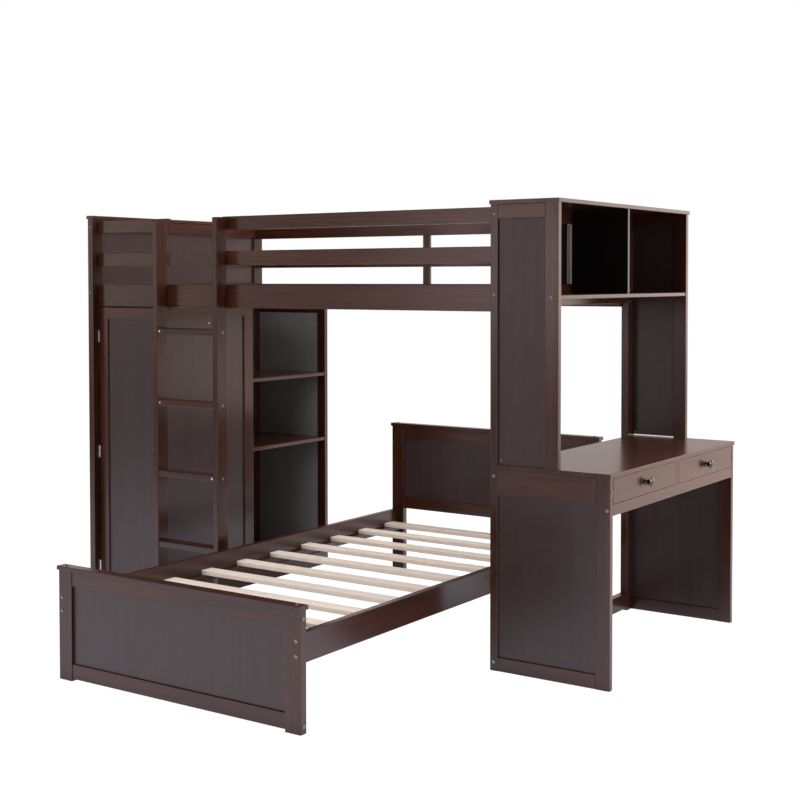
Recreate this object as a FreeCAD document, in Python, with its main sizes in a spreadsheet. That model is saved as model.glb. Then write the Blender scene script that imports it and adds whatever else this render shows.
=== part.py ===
import FreeCAD, Part
import math
import os
import Sketcher

# A loft bed with a cabinet under its left end, a ladder, a desk with a shelf tower at its right end,
# and a low single bed that stands free beneath it. X runs along the loft from the cabinet to the desk,
# Y from the front to the back, Z up. The origin is on the floor at the middle of the whole object.

doc = FreeCAD.newDocument("loft_bed")
sheet = doc.addObject("Spreadsheet::Sheet", "d")

# Driving sizes in millimetres: name, value, what it measures

SIZES = [
    ("end_thick", 30, "thickness of an end frame"),
    ("depth", 1100, "front to back of the loft"),
    ("frame_height", 1588, "floor to the top of an end frame"),
    ("cap_thick", 14, "boards that cap the frames"),
    ("cap_side_overhang", 4, "how far a cap stands out at its long edges"),
    ("cap_end_overhang", 3, "how far a cap or the desk top stands out at its ends"),
    ("edge_round", 2, "eased edge of the boards"),
    ("end_stile_width", 60, "upright of an end frame"),
    ("end_top_rail_height", 51, "top rail of an end frame"),
    ("end_deck_rail_drop", 271, "top of an end frame to the top of its deck rail"),
    ("end_deck_rail_height", 78, "deck rail of an end frame"),
    ("left_foot_rail_height", 64, "bottom rail of the left end frame and of the cabinet"),
    ("right_foot_rail_bottom", 10, "air below the bottom rail of the right end frame"),
    ("right_foot_rail_height", 60, "bottom rail of the right end frame"),
    ("end_panel_thick", 12, "infill panel of the left end frame"),
    ("back_panel_thick", 5, "thin panel behind the tower"),
    ("joint_strip_width", 15, "strip that joins the two thin panels"),
    ("joint_strip_gap", 5, "top end of that strip to the rail above it"),
    ("joint_strip_thick", 9, "depth of that strip"),
    ("rail_thick", 22, "side rails and guard rails of the loft"),
    ("setback", 31, "rails and door behind the edges of the end frames"),
    ("side_rail_drop", 273, "top of an end frame to the top of the loft's side rails"),
    ("side_rail_height", 91, "side rails of the loft"),
    ("guard_mid_drop", 141, "top of an end frame to the top of the middle guard rails"),
    ("guard_mid_height", 57, "middle guard rails"),
    ("guard_top_drop", 7, "top of an end frame to the top of the top guard rails"),
    ("guard_top_height", 53, "top guard rails"),
    ("guard_post_shift", 6, "back guard's post, from the middle of the loft"),
    ("guard_post_width", 35, "back guard's post, seen from the front"),
    ("guard_post_thick", 16, "back guard's post, front to back"),
    ("ledger_width", 22, "strip that carries the slats, across"),
    ("ledger_height", 24, "strip that carries the slats, upright"),
    ("slat_width", 58, "slats of both beds"),
    ("slat_thick", 17, "slats of both beds"),
    ("slat_round", 3, "eased edge of a slat"),
    ("slat_count", 10, "slats of each bed"),
    ("slat_lead", 43, "from the end of a bed to its first slat"),
    ("slat_end_gap", 1, "air at each end of a slat"),
    ("cabinet_reach", 395, "cabinet, from the left end frame to its outer face"),
    ("cabinet_top_gap", 3, "air between the cabinet and the side rail"),
    ("upright_thick", 24, "ladder upright along the loft"),
    ("upright_depth", 60, "ladder upright front to back"),
    ("upright_drop", 11, "top of an end frame to the top of a ladder upright"),
    ("upright_nose", 8, "rounded top corners of a ladder upright"),
    ("ladder_clear_width", 294.5, "between the ladder uprights"),
    ("rung_count", 4, "rungs of the ladder"),
    ("rung_last_drop", 173.5, "top of the side rail to the top of the highest rung"),
    ("rung_thick", 27, "height of a rung"),
    ("rung_depth", 55, "tread of a rung"),
    ("rung_round", 4, "rounded edge of a rung"),
    ("side_frame_thick", 22, "frames of the cabinet, desk and tower"),
    ("panel_recess", 6, "infill panel behind the face of its frame"),
    ("side_panel_thick", 9, "infill panels of the cabinet, desk, tower, door and low bed"),
    ("wardrobe_depth", 563, "from the front of the loft to the back of the wardrobe's stile"),
    ("cabinet_top_rail_height", 43, "top rails of the cabinet's frames"),
    ("cabinet_stile_width", 59, "stile between wardrobe and bookcase"),
    ("rear_stile_width", 45, "stile of the cabinet's rear frame"),
    ("partition_thick", 22, "board between wardrobe and bookcase"),
    ("shelf_thick", 16, "bookcase shelves and cabinet floor"),
    ("upper_shelf_drop", 319, "top of the cabinet to the top of its upper shelf"),
    ("lower_shelf_drop", 622, "top of the cabinet to the top of its lower shelf"),
    ("hanging_rail_radius", 11, "rod for clothes hangers"),
    ("hanging_rail_drop", 69, "rod's axis below the top of the cabinet"),
    ("hanging_rail_inset", 284, "rod's axis behind the front of the loft"),
    ("rail_flange_radius", 20, "socket that holds the rod"),
    ("rail_flange_thick", 4, "plate of that socket"),
    ("door_thick", 20, "wardrobe door"),
    ("door_stile_width", 50, "stiles of the door"),
    ("door_rail_height", 50, "rails of the door"),
    ("door_foot_gap", 6, "air under the door"),
    ("door_edge_gap", 5, "air beside the door's free edge"),
    ("door_head_gap", 2, "door's top below the top of the cabinet"),
    ("door_back_gap", 2.5, "air between the door and the cabinet's floor"),
    ("hinge_barrel_radius", 4, "knuckles of a hinge"),
    ("hinge_pin_radius", 1.6, "pin of a hinge"),
    ("hinge_gap", 0.3, "between moving faces of a hinge"),
    ("hinge_leaf_thick", 1, "leaf of a hinge"),
    ("hinge_leaf_width", 18, "leaf of a hinge, from the pin into the gap"),
    ("hinge_height", 48, "leaf and barrel of a hinge"),
    ("hinge_inset", 122, "middle of the outer hinges from the door's ends"),
    ("pin_head_radius", 3, "head of a hinge pin"),
    ("pin_head_height", 1, "head of a hinge pin"),
    ("tower_reach", 228, "tower, from the right end frame to its open face"),
    ("tower_stile_width", 50, "stiles of the tower's side frames"),
    ("tower_top_rail_height", 50, "top rails of the tower's side frames"),
    ("tower_shelf_drop", 306, "top of an end frame to the top of the tower's shelf"),
    ("tower_shelf_thick", 14, "tower's shelf"),
    ("tower_divider_thick", 15, "board between the tower's compartments"),
    ("tower_panel_rise", 4, "air between the rear tower panel's foot and the desk top"),
    ("shelf_setback", 2, "front edge of a shelf behind the face of its frame"),
    ("desk_reach", 417, "desk, from the right end frame to its face"),
    ("desk_height", 706, "floor to the top of the desk"),
    ("desk_top_thick", 15, "desk top"),
    ("desk_stile_width", 50, "front stiles of the desk's side frames"),
    ("desk_top_rail_height", 91, "top rails of the desk's side frames and its back rail"),
    ("desk_foot_rail_height", 48, "bottom rails of the desk's side frames"),
    ("apron_bottom", 568, "floor to the underside of the apron"),
    ("apron_height", 38, "apron below the drawers"),
    ("apron_thick", 22, "apron below the drawers"),
    ("desk_divider_thick", 22, "board between the drawers"),
    ("drawer_edge_gap", 2.5, "air at each end of a drawer's face"),
    ("drawer_head_gap", 1.5, "air above a drawer's face"),
    ("drawer_foot_gap", 1, "air below a drawer's face"),
    ("drawer_face_thick", 18, "drawer's face"),
    ("drawer_side_gap", 6, "air beside a drawer's box"),
    ("drawer_side_thick", 12, "sides and back of a drawer's box"),
    ("drawer_box_length", 349, "drawer's box behind its face"),
    ("drawer_box_height", 65, "drawer's box"),
    ("drawer_bottom_thick", 5, "bottom of a drawer's box"),
    ("runner_width", 20, "wooden runner under a drawer's side"),
    ("runner_height", 12, "wooden runner under a drawer's side"),
    ("runner_rise", 8, "runner's top above the apron's top"),
    ("runner_gap", 0.3, "air between a drawer's box and its runner"),
    ("knob_length", 27, "knob, from its foot to its tip"),
    ("knob_head_radius", 18, "head of a knob"),
    ("knob_rim_height", 19, "knob, from its foot to the rim of its head"),
    ("knob_rim_round", 2, "rounded rim of a knob's head"),
    ("knob_foot_radius", 12.5, "foot of a knob"),
    ("knob_neck_curve", 11, "hollow curve of a knob's neck"),
    ("bed_ladder_gap", 67.5, "between the ladder and the low bed"),
    ("bed_desk_gap", 113, "between the low bed and the right end frame"),
    ("bed_width", 1026, "low bed across"),
    ("bed_lead", 898, "how far the low bed stands out in front of the loft"),
    ("bed_inner_length", 1942, "between the low bed's footboard and headboard"),
    ("bed_post_width", 60, "posts of the low bed, seen from the foot"),
    ("bed_post_thick", 28, "posts of the low bed, along the bed"),
    ("bed_cap_overhang", 5, "how far the low bed's caps stand out"),
    ("foot_post_height", 367, "footboard's posts"),
    ("foot_top_rail_height", 50, "footboard's top rail"),
    ("foot_low_rail_bottom", 7, "air below the footboard's bottom rail"),
    ("foot_low_rail_height", 50, "footboard's bottom rail"),
    ("head_post_height", 674, "headboard's posts"),
    ("head_top_rail_height", 56, "headboard's top rail"),
    ("head_low_rail_bottom", 306, "underside of the headboard's bottom rail"),
    ("head_low_rail_height", 50, "headboard's bottom rail"),
    ("board_step", 3, "posts stand proud of the rails by this much"),
    ("bed_rail_bottom", 209, "underside of the low bed's side rails"),
    ("bed_rail_height", 90, "low bed's side rails"),
    ("bed_rail_thick", 25, "low bed's side rails"),
    ("bed_rail_step", 2, "side rails behind the outer faces of the posts"),
    ("bed_bolt_spread", 45, "between the two bolts at the end of a bed rail"),
    ("bed_bolt_edge", 16, "bolts from the outer edge of a bed post"),
    ("cap_screw_inset", 26, "cap screws from the outer edge of a bed post"),
    ("bolt_head_radius", 6, "button head of a bolt"),
    ("bolt_head_height", 2.4, "button head of a bolt"),
    ("bolt_shank_radius", 3, "shank of a bolt"),
    ("bolt_length", 62, "shank of a long bolt"),
    ("bolt_bore_gap", 0.3, "bore around a shank"),
    ("bolt_socket_radius", 2.9, "hexagon socket, to its corners"),
    ("bolt_socket_depth", 1.4, "hexagon socket"),
    ("screw_length", 32, "short screw"),
    ("top_bolt_drop", 32, "bolt below the top of an end frame"),
    ("deck_bolt_drop", 35, "bolt below the top of a deck rail"),
    ("desk_bolt_drop", 24, "bolt below the desk top"),
    ("foot_bolt_rise", 21, "bolt above the underside of the right end frame's bottom rail"),
    ("panel_screw_inset", 9, "screw at a foot corner of a tower panel, from the end frame"),
    ("panel_screw_rise", 14, "screw at a foot corner of a tower panel, above the desk top"),
    ("panel_screw_length", 8, "screw into a tower panel"),
    ("barrel_nut_radius", 4.5, "cross dowel in a rung"),
    ("barrel_nut_inset", 9, "cross dowel from the end of its rung"),
    ("barrel_nut_length", 34, "cross dowel"),
    ("overrun", 1, "how far a cutting shape runs past the face that it cuts"),
]
for row, (alias, value, note) in enumerate(SIZES, 1):
    sheet.set("A%d" % row, alias)
    sheet.set("B%d" % row, str(value))
    sheet.setAlias("B%d" % row, alias)
    sheet.set("C%d" % row, note)
doc.recompute()

# Places that several pieces share, worked out from the sheet, from the front outer corner
# of the left end frame

PANEL_FACE = "((d.end_thick + d.end_panel_thick) / 2)"
CABINET_FACE = "(d.end_thick + d.cabinet_reach)"
CABINET_SIDE = "(%s - d.side_frame_thick)" % CABINET_FACE
SIDE_RAIL_BOTTOM = "(d.frame_height - d.side_rail_drop - d.side_rail_height)"
CABINET_TOP = "(%s - d.cabinet_top_gap)" % SIDE_RAIL_BOTTOM
UPRIGHT_HEIGHT = "(d.frame_height - d.upright_drop)"
RUNG_PITCH = "((%s + d.side_rail_height - d.rung_last_drop) / d.rung_count)" % SIDE_RAIL_BOTTOM
LADDER_LEFT = "(%s - d.upright_thick)" % CABINET_FACE
LADDER_RIGHT = "(%s + d.ladder_clear_width)" % CABINET_FACE
LADDER_FRONT = "(d.setback - d.upright_depth)"
RUNG_FRONT = "(%s + (d.upright_depth - d.rung_depth) / 2)" % LADDER_FRONT
BED_LEFT = "(%s + d.upright_thick + d.bed_ladder_gap)" % LADDER_RIGHT
BED_RIGHT = "(%s + d.bed_width)" % BED_LEFT
RIGHT_END = "(%s + d.bed_desk_gap)" % BED_RIGHT
INNER_LENGTH = "(%s - d.end_thick)" % RIGHT_END
TOWER_BACK = "(%s + d.end_thick)" % RIGHT_END
TOWER_FACE = "(%s + d.tower_reach)" % TOWER_BACK
DESK_FACE = "(%s + d.desk_reach)" % TOWER_BACK
RAILS_BACK = "(d.setback + d.rail_thick)"
BACK_RAILS = "(d.depth - d.setback - d.rail_thick)"
REAR_INNER = "(d.depth - d.side_frame_thick)"
DECK_RAIL_TOP = "(d.frame_height - d.end_deck_rail_drop)"
DECK_RAIL_BOTTOM = "(%s - d.end_deck_rail_height)" % DECK_RAIL_TOP
TOP_RAIL_BOTTOM = "(d.frame_height - d.end_top_rail_height)"
LEDGER_TOP = "(%s + d.ledger_height)" % SIDE_RAIL_BOTTOM
DESK_UNDER = "(d.desk_height - d.desk_top_thick)"
DESK_RAIL_BOTTOM = "(%s - d.desk_top_rail_height)" % DESK_UNDER
APRON_TOP = "(d.apron_bottom + d.apron_height)"
RUNNER_TOP = "(%s + d.runner_rise)" % APRON_TOP
SHELF_TOP = "(d.frame_height - d.tower_shelf_drop)"
SHELF_UNDER = "(%s - d.tower_shelf_thick)" % SHELF_TOP
FOOT_FRONT = "(-d.bed_lead)"
FOOT_INNER = "(d.bed_post_thick - d.bed_lead)"
HEAD_INNER = "(%s + d.bed_inner_length)" % FOOT_INNER
HEAD_BACK = "(%s + d.bed_post_thick)" % HEAD_INNER
MIDDLE = {
    "x": "(%s + d.knob_length - d.cap_side_overhang) / 2" % DESK_FACE,
    "y": "(%s + %s) / 2" % (FOOT_FRONT, HEAD_BACK),
    "z": "0",
}

AXES = "xyz"
BOX_EDGES = Part.makeBox(1, 1, 1).Edges
TOP_CIRCLE = 3
nodes = {}


def size(alias):
    return float(sheet.get(alias))


def bind(obj, point):
    """Bind an object's own position to three expressions."""
    for axis, expression in zip(AXES, point):
        obj.setExpression("Placement.Base." + axis, str(expression))
    return obj


def place(obj, point):
    """Bind an object's position, measured from the corner of the left end frame."""
    return bind(obj, ["%s - %s" % (expression, MIDDLE[axis]) for axis, expression in zip(AXES, point)])


def plain_box(name, low, span):
    box = doc.addObject("Part::Box", name)
    for side, expression in zip(("Length", "Width", "Height"), span):
        box.setExpression(side, str(expression))
    return place(box, low)


def board(name, along, low, span, rounding="edge_round", nose=None):
    """A board whose four long edges are eased; a nose rounds its two top ends too."""
    box = plain_box(name + "_blank", low, span)
    rounded = doc.addObject("Part::Fillet", name)
    rounded.Base = box
    edges = []
    for number, edge in enumerate(BOX_EDGES, 1):
        direction = edge.tangentAt(edge.FirstParameter)
        if abs(direction[AXES.index(along)]) > 0.5:
            edges.append((number, size(rounding), size(rounding)))
        elif nose and abs(direction.x) > 0.5 and edge.CenterOfMass.z > 0.5:
            edges.append((number, size(nose), size(nose)))
    rounded.Edges = edges
    return rounded


TURNS = {
    "+x": FreeCAD.Rotation(FreeCAD.Vector(0, 1, 0), 90),
    "-x": FreeCAD.Rotation(FreeCAD.Vector(0, 1, 0), -90),
    "+y": FreeCAD.Rotation(FreeCAD.Vector(1, 0, 0), -90),
    "-y": FreeCAD.Rotation(FreeCAD.Vector(1, 0, 0), 90),
    "+z": FreeCAD.Rotation(),
}


def cylinder(name, radius, length, base="0"):
    """An upright cylinder about its own axis."""
    made = doc.addObject("Part::Cylinder", name)
    made.setExpression("Radius", radius)
    made.setExpression("Height", length)
    return bind(made, ("0", "0", base))


def rod(name, direction, centre, radius, length):
    """A cylinder from the centre of one end, towards a direction."""
    made = cylinder(name, radius, length)
    made.Placement = FreeCAD.Placement(FreeCAD.Vector(), TURNS[direction])
    return place(made, centre)


def group(name, pieces):
    compound = doc.addObject("Part::Compound", name)
    compound.Links = pieces
    return compound


def joined(name, pieces):
    fused = doc.addObject("Part::MultiFuse", name)
    fused.Shapes = pieces
    return fused


def cut(name, base, tools):
    difference = doc.addObject("Part::Cut", name)
    difference.Base = base
    difference.Tool = tools[0] if len(tools) == 1 else group(name + "_tools", tools)
    return difference


def node(label, pieces):
    """Keep one sub-part under the name of its file."""
    result = pieces[0] if len(pieces) == 1 else group(label + "_pieces", pieces)
    result.Label = label
    nodes[label] = result
    return result


# Bolts: each has a head that sits on a face, a shank into the wood, and the bore for its shank

BOLT_LENGTH = "d.bolt_length"
SCREW_LENGTH = "d.screw_length"
bolts = {"loft": [], "bed": []}
bores = {}


def bolt(owner, name, outward, seat, shank=BOLT_LENGTH):
    """A button-head bolt with a hexagon socket, which looks outward."""
    head = cylinder(name + "_head", "d.bolt_head_radius", "d.bolt_head_height")
    dome = doc.addObject("Part::Fillet", name + "_dome")
    dome.Base = head
    dome.Edges = [(TOP_CIRCLE, size("bolt_head_height") / 2, size("bolt_head_height") / 2)]
    shaft = cylinder(name + "_shank", "d.bolt_shank_radius", shank, "-(%s)" % shank)
    socket = doc.addObject("Part::Prism", name + "_socket")
    socket.Polygon = 6
    socket.setExpression("Circumradius", "d.bolt_socket_radius")
    socket.setExpression("Height", "d.bolt_socket_depth + d.overrun")
    bind(socket, ("0", "0", "d.bolt_head_height - d.bolt_socket_depth"))
    made = cut(name, joined(name + "_body", [dome, shaft]), [socket])
    made.Placement = FreeCAD.Placement(FreeCAD.Vector(), TURNS[outward])
    bolts[owner].append(place(made, seat))
    start = [str(part) for part in seat]
    axis = AXES.index(outward[1])
    start[axis] += " %s (%s + d.overrun)" % ("-" if outward[0] == "+" else "+", shank)
    bore = rod(name + "_bore", outward, start, "d.bolt_shank_radius + d.bolt_bore_gap",
               "%s + 2 * d.overrun" % shank)
    bores[name] = bore


def drilled(pieces, names):
    """Each board with the bores of the bolts whose names begin as given."""
    tools = [bore for name, bore in bores.items() if name.startswith(tuple(names))]
    return [cut(piece.Name + "_drilled", piece, tools) for piece in pieces]


# End frames: two stiles and the rails between them

RIGHT_RAILS = [
    ("top", TOP_RAIL_BOTTOM, "d.end_top_rail_height", "d.frame_height - d.top_bolt_drop"),
    ("deck", DECK_RAIL_BOTTOM, "d.end_deck_rail_height", "%s - d.deck_bolt_drop" % DECK_RAIL_TOP),
    ("desk", DESK_RAIL_BOTTOM, "d.desk_top_rail_height", "%s - d.desk_bolt_drop" % DESK_UNDER),
    ("foot", "d.right_foot_rail_bottom", "d.right_foot_rail_height",
     "d.right_foot_rail_bottom + d.foot_bolt_rise"),
]
LEFT_RAILS = RIGHT_RAILS[:2] + [("foot", "0", "d.left_foot_rail_height", None)]


def end_frame(prefix, left, rails):
    """The boards of one end frame, from its left face."""
    stile = ("d.end_thick", "d.end_stile_width", "d.frame_height")
    boards = [
        board(prefix + "_front_stile", "z", (left, "0", "0"), stile),
        board(prefix + "_back_stile", "z", (left, "d.depth - d.end_stile_width", "0"), stile),
    ]
    for name, bottom, height, bolt_height in rails:
        boards.append(board("%s_%s_rail" % (prefix, name), "y", (left, "d.end_stile_width", bottom),
                            ("d.end_thick", "d.depth - 2 * d.end_stile_width", height)))
    return boards


for prefix, left, rails in (("right_end", RIGHT_END, RIGHT_RAILS), ("left_end", "0", LEFT_RAILS[:2])):
    for name, bottom, height, bolt_height in rails:
        for side, outward, face in (("front", "-y", "0"), ("back", "+y", "d.depth")):
            bolt("loft", "%s_%s_%s" % (prefix, name, side), outward,
                 ("%s + d.end_thick / 2" % left, face, bolt_height),
                 "d.end_stile_width + d.end_stile_width / 2")
for share in (1, 3):
    for side, face in (("front", "d.setback"), ("back", BACK_RAILS)):
        middle = "%s + d.rail_thick / 2" % face
        height = "%s + d.side_rail_height * %d / 4" % (SIDE_RAIL_BOTTOM, share)
        bolt("loft", "rail_left_%s_%d" % (side, share), "-x", ("0", middle, height))
        bolt("loft", "rail_right_%s_%d" % (side, share), "+x", (TOWER_BACK, middle, height))

# Left end frame with its two infill panels and its cap

node("left_end_frame", drilled(end_frame("left_end", "0", LEFT_RAILS), ["left_end", "rail_left"]))
panel_low = "(d.end_thick - d.end_panel_thick) / 2"
panel_width = "d.depth - 2 * d.end_stile_width"
node("left_end_panels", [
    plain_box("left_upper_panel", (panel_low, "d.end_stile_width", DECK_RAIL_TOP),
              ("d.end_panel_thick", panel_width, "%s - %s" % (TOP_RAIL_BOTTOM, DECK_RAIL_TOP))),
    plain_box("left_lower_panel", (panel_low, "d.end_stile_width", "d.left_foot_rail_height"),
              ("d.end_panel_thick", panel_width, "%s - d.left_foot_rail_height" % DECK_RAIL_BOTTOM)),
])
CAP_DEPTH = "d.depth + 2 * d.cap_end_overhang"
node("left_end_cap", [
    board("left_cap", "y", ("-d.cap_side_overhang", "-d.cap_end_overhang", "d.frame_height"),
          ("d.end_thick + 2 * d.cap_side_overhang", CAP_DEPTH, "d.cap_thick"))])

# Right end frame, open below the deck, with the thin panels and the strip behind the tower

node("right_end_frame", drilled(end_frame("right_end", RIGHT_END, RIGHT_RAILS), ["right_end", "rail_right"]))
strip_low = "(d.depth - d.joint_strip_width) / 2"
thin_x = "%s + (d.end_thick - d.back_panel_thick) / 2" % RIGHT_END
thin_height = "%s - %s" % (TOP_RAIL_BOTTOM, DECK_RAIL_TOP)
thin_span = ("d.back_panel_thick", "%s - d.end_stile_width" % strip_low, thin_height)
node("tower_back_panels", [
    plain_box("front_back_panel", (thin_x, "d.end_stile_width", DECK_RAIL_TOP), thin_span),
    plain_box("rear_back_panel", (thin_x, "(d.depth + d.joint_strip_width) / 2", DECK_RAIL_TOP), thin_span),
])
node("tower_back_strip", [
    board("joint_strip", "z",
          ("%s + (d.end_thick - d.joint_strip_thick) / 2" % RIGHT_END, strip_low, DECK_RAIL_TOP),
          ("d.joint_strip_thick", "d.joint_strip_width", "%s - d.joint_strip_gap" % thin_height))])

# Side rails, guard rails and the slatted deck of the loft

rail_span = (INNER_LENGTH, "d.rail_thick", "d.side_rail_height")
node("front_side_rail", drilled(
    [board("front_rail", "x", ("d.end_thick", "d.setback", SIDE_RAIL_BOTTOM), rail_span)],
    ["rail_left_front", "rail_right_front"]))
node("back_side_rail", drilled(
    [board("back_rail", "x", ("d.end_thick", BACK_RAILS, SIDE_RAIL_BOTTOM), rail_span)],
    ["rail_left_back", "rail_right_back"]))
front_guard = []
back_guard = []
for level in ("mid", "top"):
    height = "d.guard_%s_height" % level
    low_z = "d.frame_height - d.guard_%s_drop - %s" % (level, height)
    front_guard.append(board("front_left_guard_" + level, "x", ("d.end_thick", "d.setback", low_z),
                             ("d.cabinet_reach", "d.rail_thick", height)))
    front_guard.append(board("front_right_guard_" + level, "x", (LADDER_RIGHT, "d.setback", low_z),
                             ("%s - %s" % (RIGHT_END, LADDER_RIGHT), "d.rail_thick", height)))
    back_guard.append(board("back_guard_" + level, "x", ("d.end_thick", BACK_RAILS, low_z),
                            (INNER_LENGTH, "d.rail_thick", height)))
node("front_guard_rails", front_guard)
node("back_guard_rails", back_guard)
post_left = "d.end_thick + %s / 2 + d.guard_post_shift - d.guard_post_width / 2" % INNER_LENGTH
post_low = "%s + d.side_rail_height / 2" % SIDE_RAIL_BOTTOM
post_top = "d.frame_height - d.guard_top_drop - d.edge_round"
node("back_guard_post", [
    board("guard_post", "z",
          (post_left, "%s + d.rail_thick" % BACK_RAILS, post_low),
          ("d.guard_post_width", "d.guard_post_thick", "%s - (%s)" % (post_top, post_low)))])
ledger_span = (INNER_LENGTH, "d.ledger_width", "d.ledger_height")
node("deck_ledgers", [
    board("front_ledger", "x", ("d.end_thick", RAILS_BACK, SIDE_RAIL_BOTTOM), ledger_span),
    board("back_ledger", "x", ("d.end_thick", "%s - d.ledger_width" % BACK_RAILS, SIDE_RAIL_BOTTOM),
          ledger_span)])


def slat_start(inner_length, step):
    """Where a slat's near edge lies, from the end of its bed."""
    travel = "(%s - 2 * d.slat_lead - d.slat_width)" % inner_length
    return "d.slat_lead + %s * %d / (d.slat_count - 1)" % (travel, step)


SLATS = range(int(size("slat_count")))
node("deck_slats", [
    board("deck_slat_%d" % step, "y",
          ("d.end_thick + " + slat_start(INNER_LENGTH, step), RAILS_BACK + " + d.slat_end_gap",
           LEDGER_TOP),
          ("d.slat_width", "%s - %s - 2 * d.slat_end_gap" % (BACK_RAILS, RAILS_BACK), "d.slat_thick"),
          "slat_round")
    for step in SLATS])

# Ladder: two uprights with rounded tops, and rungs held by bolts and cross dowels. The cross
# dowels of three bolts go in from the front, and the others from the back.

FRONT_DOWELS = [("left", 3), ("left", 2), ("right", 1)]
rungs = []
dowels = []
dowel_bores = []
for step in range(int(size("rung_count"))):
    rung_top = "(%d * %s)" % (step + 1, RUNG_PITCH)
    rung_middle = "(%s - d.rung_thick / 2)" % rung_top
    rungs.append(board("rung_%d" % step, "x", (CABINET_FACE, RUNG_FRONT, "%s - d.rung_thick" % rung_top),
                       ("d.ladder_clear_width", "d.rung_depth", "d.rung_thick"), "rung_round"))
    reach = "(d.upright_thick + d.barrel_nut_inset + 2 * d.barrel_nut_radius)"
    for side, outward, face, nut in (
            ("left", "-x", LADDER_LEFT, "%s + d.barrel_nut_inset" % CABINET_FACE),
            ("right", "+x", "%s + d.upright_thick" % LADDER_RIGHT, "%s - d.barrel_nut_inset" % LADDER_RIGHT)):
        bolt("loft", "rung_%s_%d" % (side, step), outward,
             (face, "%s + d.rung_depth / 2" % RUNG_FRONT, rung_middle), reach)
        if (side, step) in FRONT_DOWELS:
            entry, direction, mouth = RUNG_FRONT, "+y", "%s - d.overrun" % RUNG_FRONT
        else:
            entry, direction = "%s + d.rung_depth" % RUNG_FRONT, "-y"
            mouth = "%s + d.overrun" % entry
        dowels.append(rod("dowel_%s_%d" % (side, step), direction, (nut, entry, rung_middle),
                          "d.barrel_nut_radius", "d.barrel_nut_length"))
        dowel_bores.append(rod("dowel_bore_%s_%d" % (side, step), direction, (nut, mouth, rung_middle),
                               "d.barrel_nut_radius", "d.barrel_nut_length + d.overrun"))
rung_bores = [bore for name, bore in bores.items() if name.startswith("rung_")]
node("ladder_rungs", [cut(rung.Name + "_drilled", rung, rung_bores + dowel_bores) for rung in rungs])
node("rung_barrel_nuts", [cut(dowel.Name + "_drilled", dowel, rung_bores) for dowel in dowels])
for side, left in (("left", LADDER_LEFT), ("right", LADDER_RIGHT)):
    upright = board("upright_" + side, "z", (left, LADDER_FRONT, "0"),
                    ("d.upright_thick", "d.upright_depth", UPRIGHT_HEIGHT), nose="upright_nose")
    node("ladder_%s_upright" % side, drilled([upright], ["rung_" + side]))

# Cabinet: side frame and panel, partition, rear frame and panel, floors, shelves, hanging rail

STILE_Y = "(d.wardrobe_depth - d.cabinet_stile_width)"
STILE_HEIGHT = "%s - d.left_foot_rail_height" % CABINET_TOP
PANEL_HEIGHT = "%s - d.cabinet_top_rail_height" % STILE_HEIGHT
CABINET_RAIL_Z = "%s - d.cabinet_top_rail_height" % CABINET_TOP
node("cabinet_side_frame", [
    board("cabinet_stile", "z", (CABINET_SIDE, STILE_Y, "d.left_foot_rail_height"),
          ("d.side_frame_thick", "d.cabinet_stile_width", STILE_HEIGHT)),
    board("cabinet_top_rail", "y", (CABINET_SIDE, "d.setback", CABINET_RAIL_Z),
          ("d.side_frame_thick", "%s - d.setback" % STILE_Y, "d.cabinet_top_rail_height")),
    board("cabinet_foot_rail", "y", (CABINET_SIDE, "d.setback", "0"),
          ("d.side_frame_thick", "%s - d.setback" % REAR_INNER, "d.left_foot_rail_height")),
])
SIDE_PANEL_BACK = "(%s - d.panel_recess - d.side_panel_thick)" % CABINET_FACE
node("cabinet_side_panel", [
    plain_box("side_panel", (SIDE_PANEL_BACK, "d.setback", "d.left_foot_rail_height"),
              ("d.side_panel_thick", "%s - d.setback" % STILE_Y, PANEL_HEIGHT))])
node("cabinet_partition", [
    board("partition", "z", (PANEL_FACE, "d.wardrobe_depth - d.partition_thick", "d.left_foot_rail_height"),
          ("%s - %s" % (CABINET_SIDE, PANEL_FACE), "d.partition_thick", STILE_HEIGHT))])
REAR_STILE_X = "(%s - d.rear_stile_width)" % CABINET_FACE
rear_reach = "%s - d.end_thick" % REAR_STILE_X
node("cabinet_rear_frame", [
    board("rear_stile", "z", (REAR_STILE_X, REAR_INNER, "0"),
          ("d.rear_stile_width", "d.side_frame_thick", CABINET_TOP)),
    board("rear_foot_rail", "x", ("d.end_thick", REAR_INNER, "0"),
          (rear_reach, "d.side_frame_thick", "d.left_foot_rail_height")),
    board("rear_top_rail", "x", ("d.end_thick", REAR_INNER, CABINET_RAIL_Z),
          (rear_reach, "d.side_frame_thick", "d.cabinet_top_rail_height")),
])
node("cabinet_rear_panel", [
    plain_box("rear_panel", ("d.end_thick", REAR_INNER, "d.left_foot_rail_height"),
              (rear_reach, "d.side_panel_thick", PANEL_HEIGHT))])
floor_y = "(d.setback + d.door_thick + d.door_back_gap)"
floor_z = "d.left_foot_rail_height - d.shelf_thick"
floor_width = "%s - d.end_thick" % CABINET_SIDE
node("cabinet_floor", [
    board("wardrobe_floor", "x", ("d.end_thick", floor_y, floor_z),
          (floor_width, "d.wardrobe_depth - %s" % floor_y, "d.shelf_thick")),
    board("bookcase_floor", "x", ("d.end_thick", "d.wardrobe_depth", floor_z),
          (floor_width, "%s - d.wardrobe_depth" % REAR_INNER, "d.shelf_thick")),
])
node("bookcase_shelves", [
    board("bookcase_" + level, "y",
          ("d.end_thick", "d.wardrobe_depth",
           "%s - d.%s_shelf_drop - d.shelf_thick" % (CABINET_TOP, level)),
          ("d.cabinet_reach - d.shelf_setback", "%s - d.wardrobe_depth" % REAR_INNER, "d.shelf_thick"))
    for level in ("upper", "lower")])
rod_z = "%s - d.hanging_rail_drop" % CABINET_TOP
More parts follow.
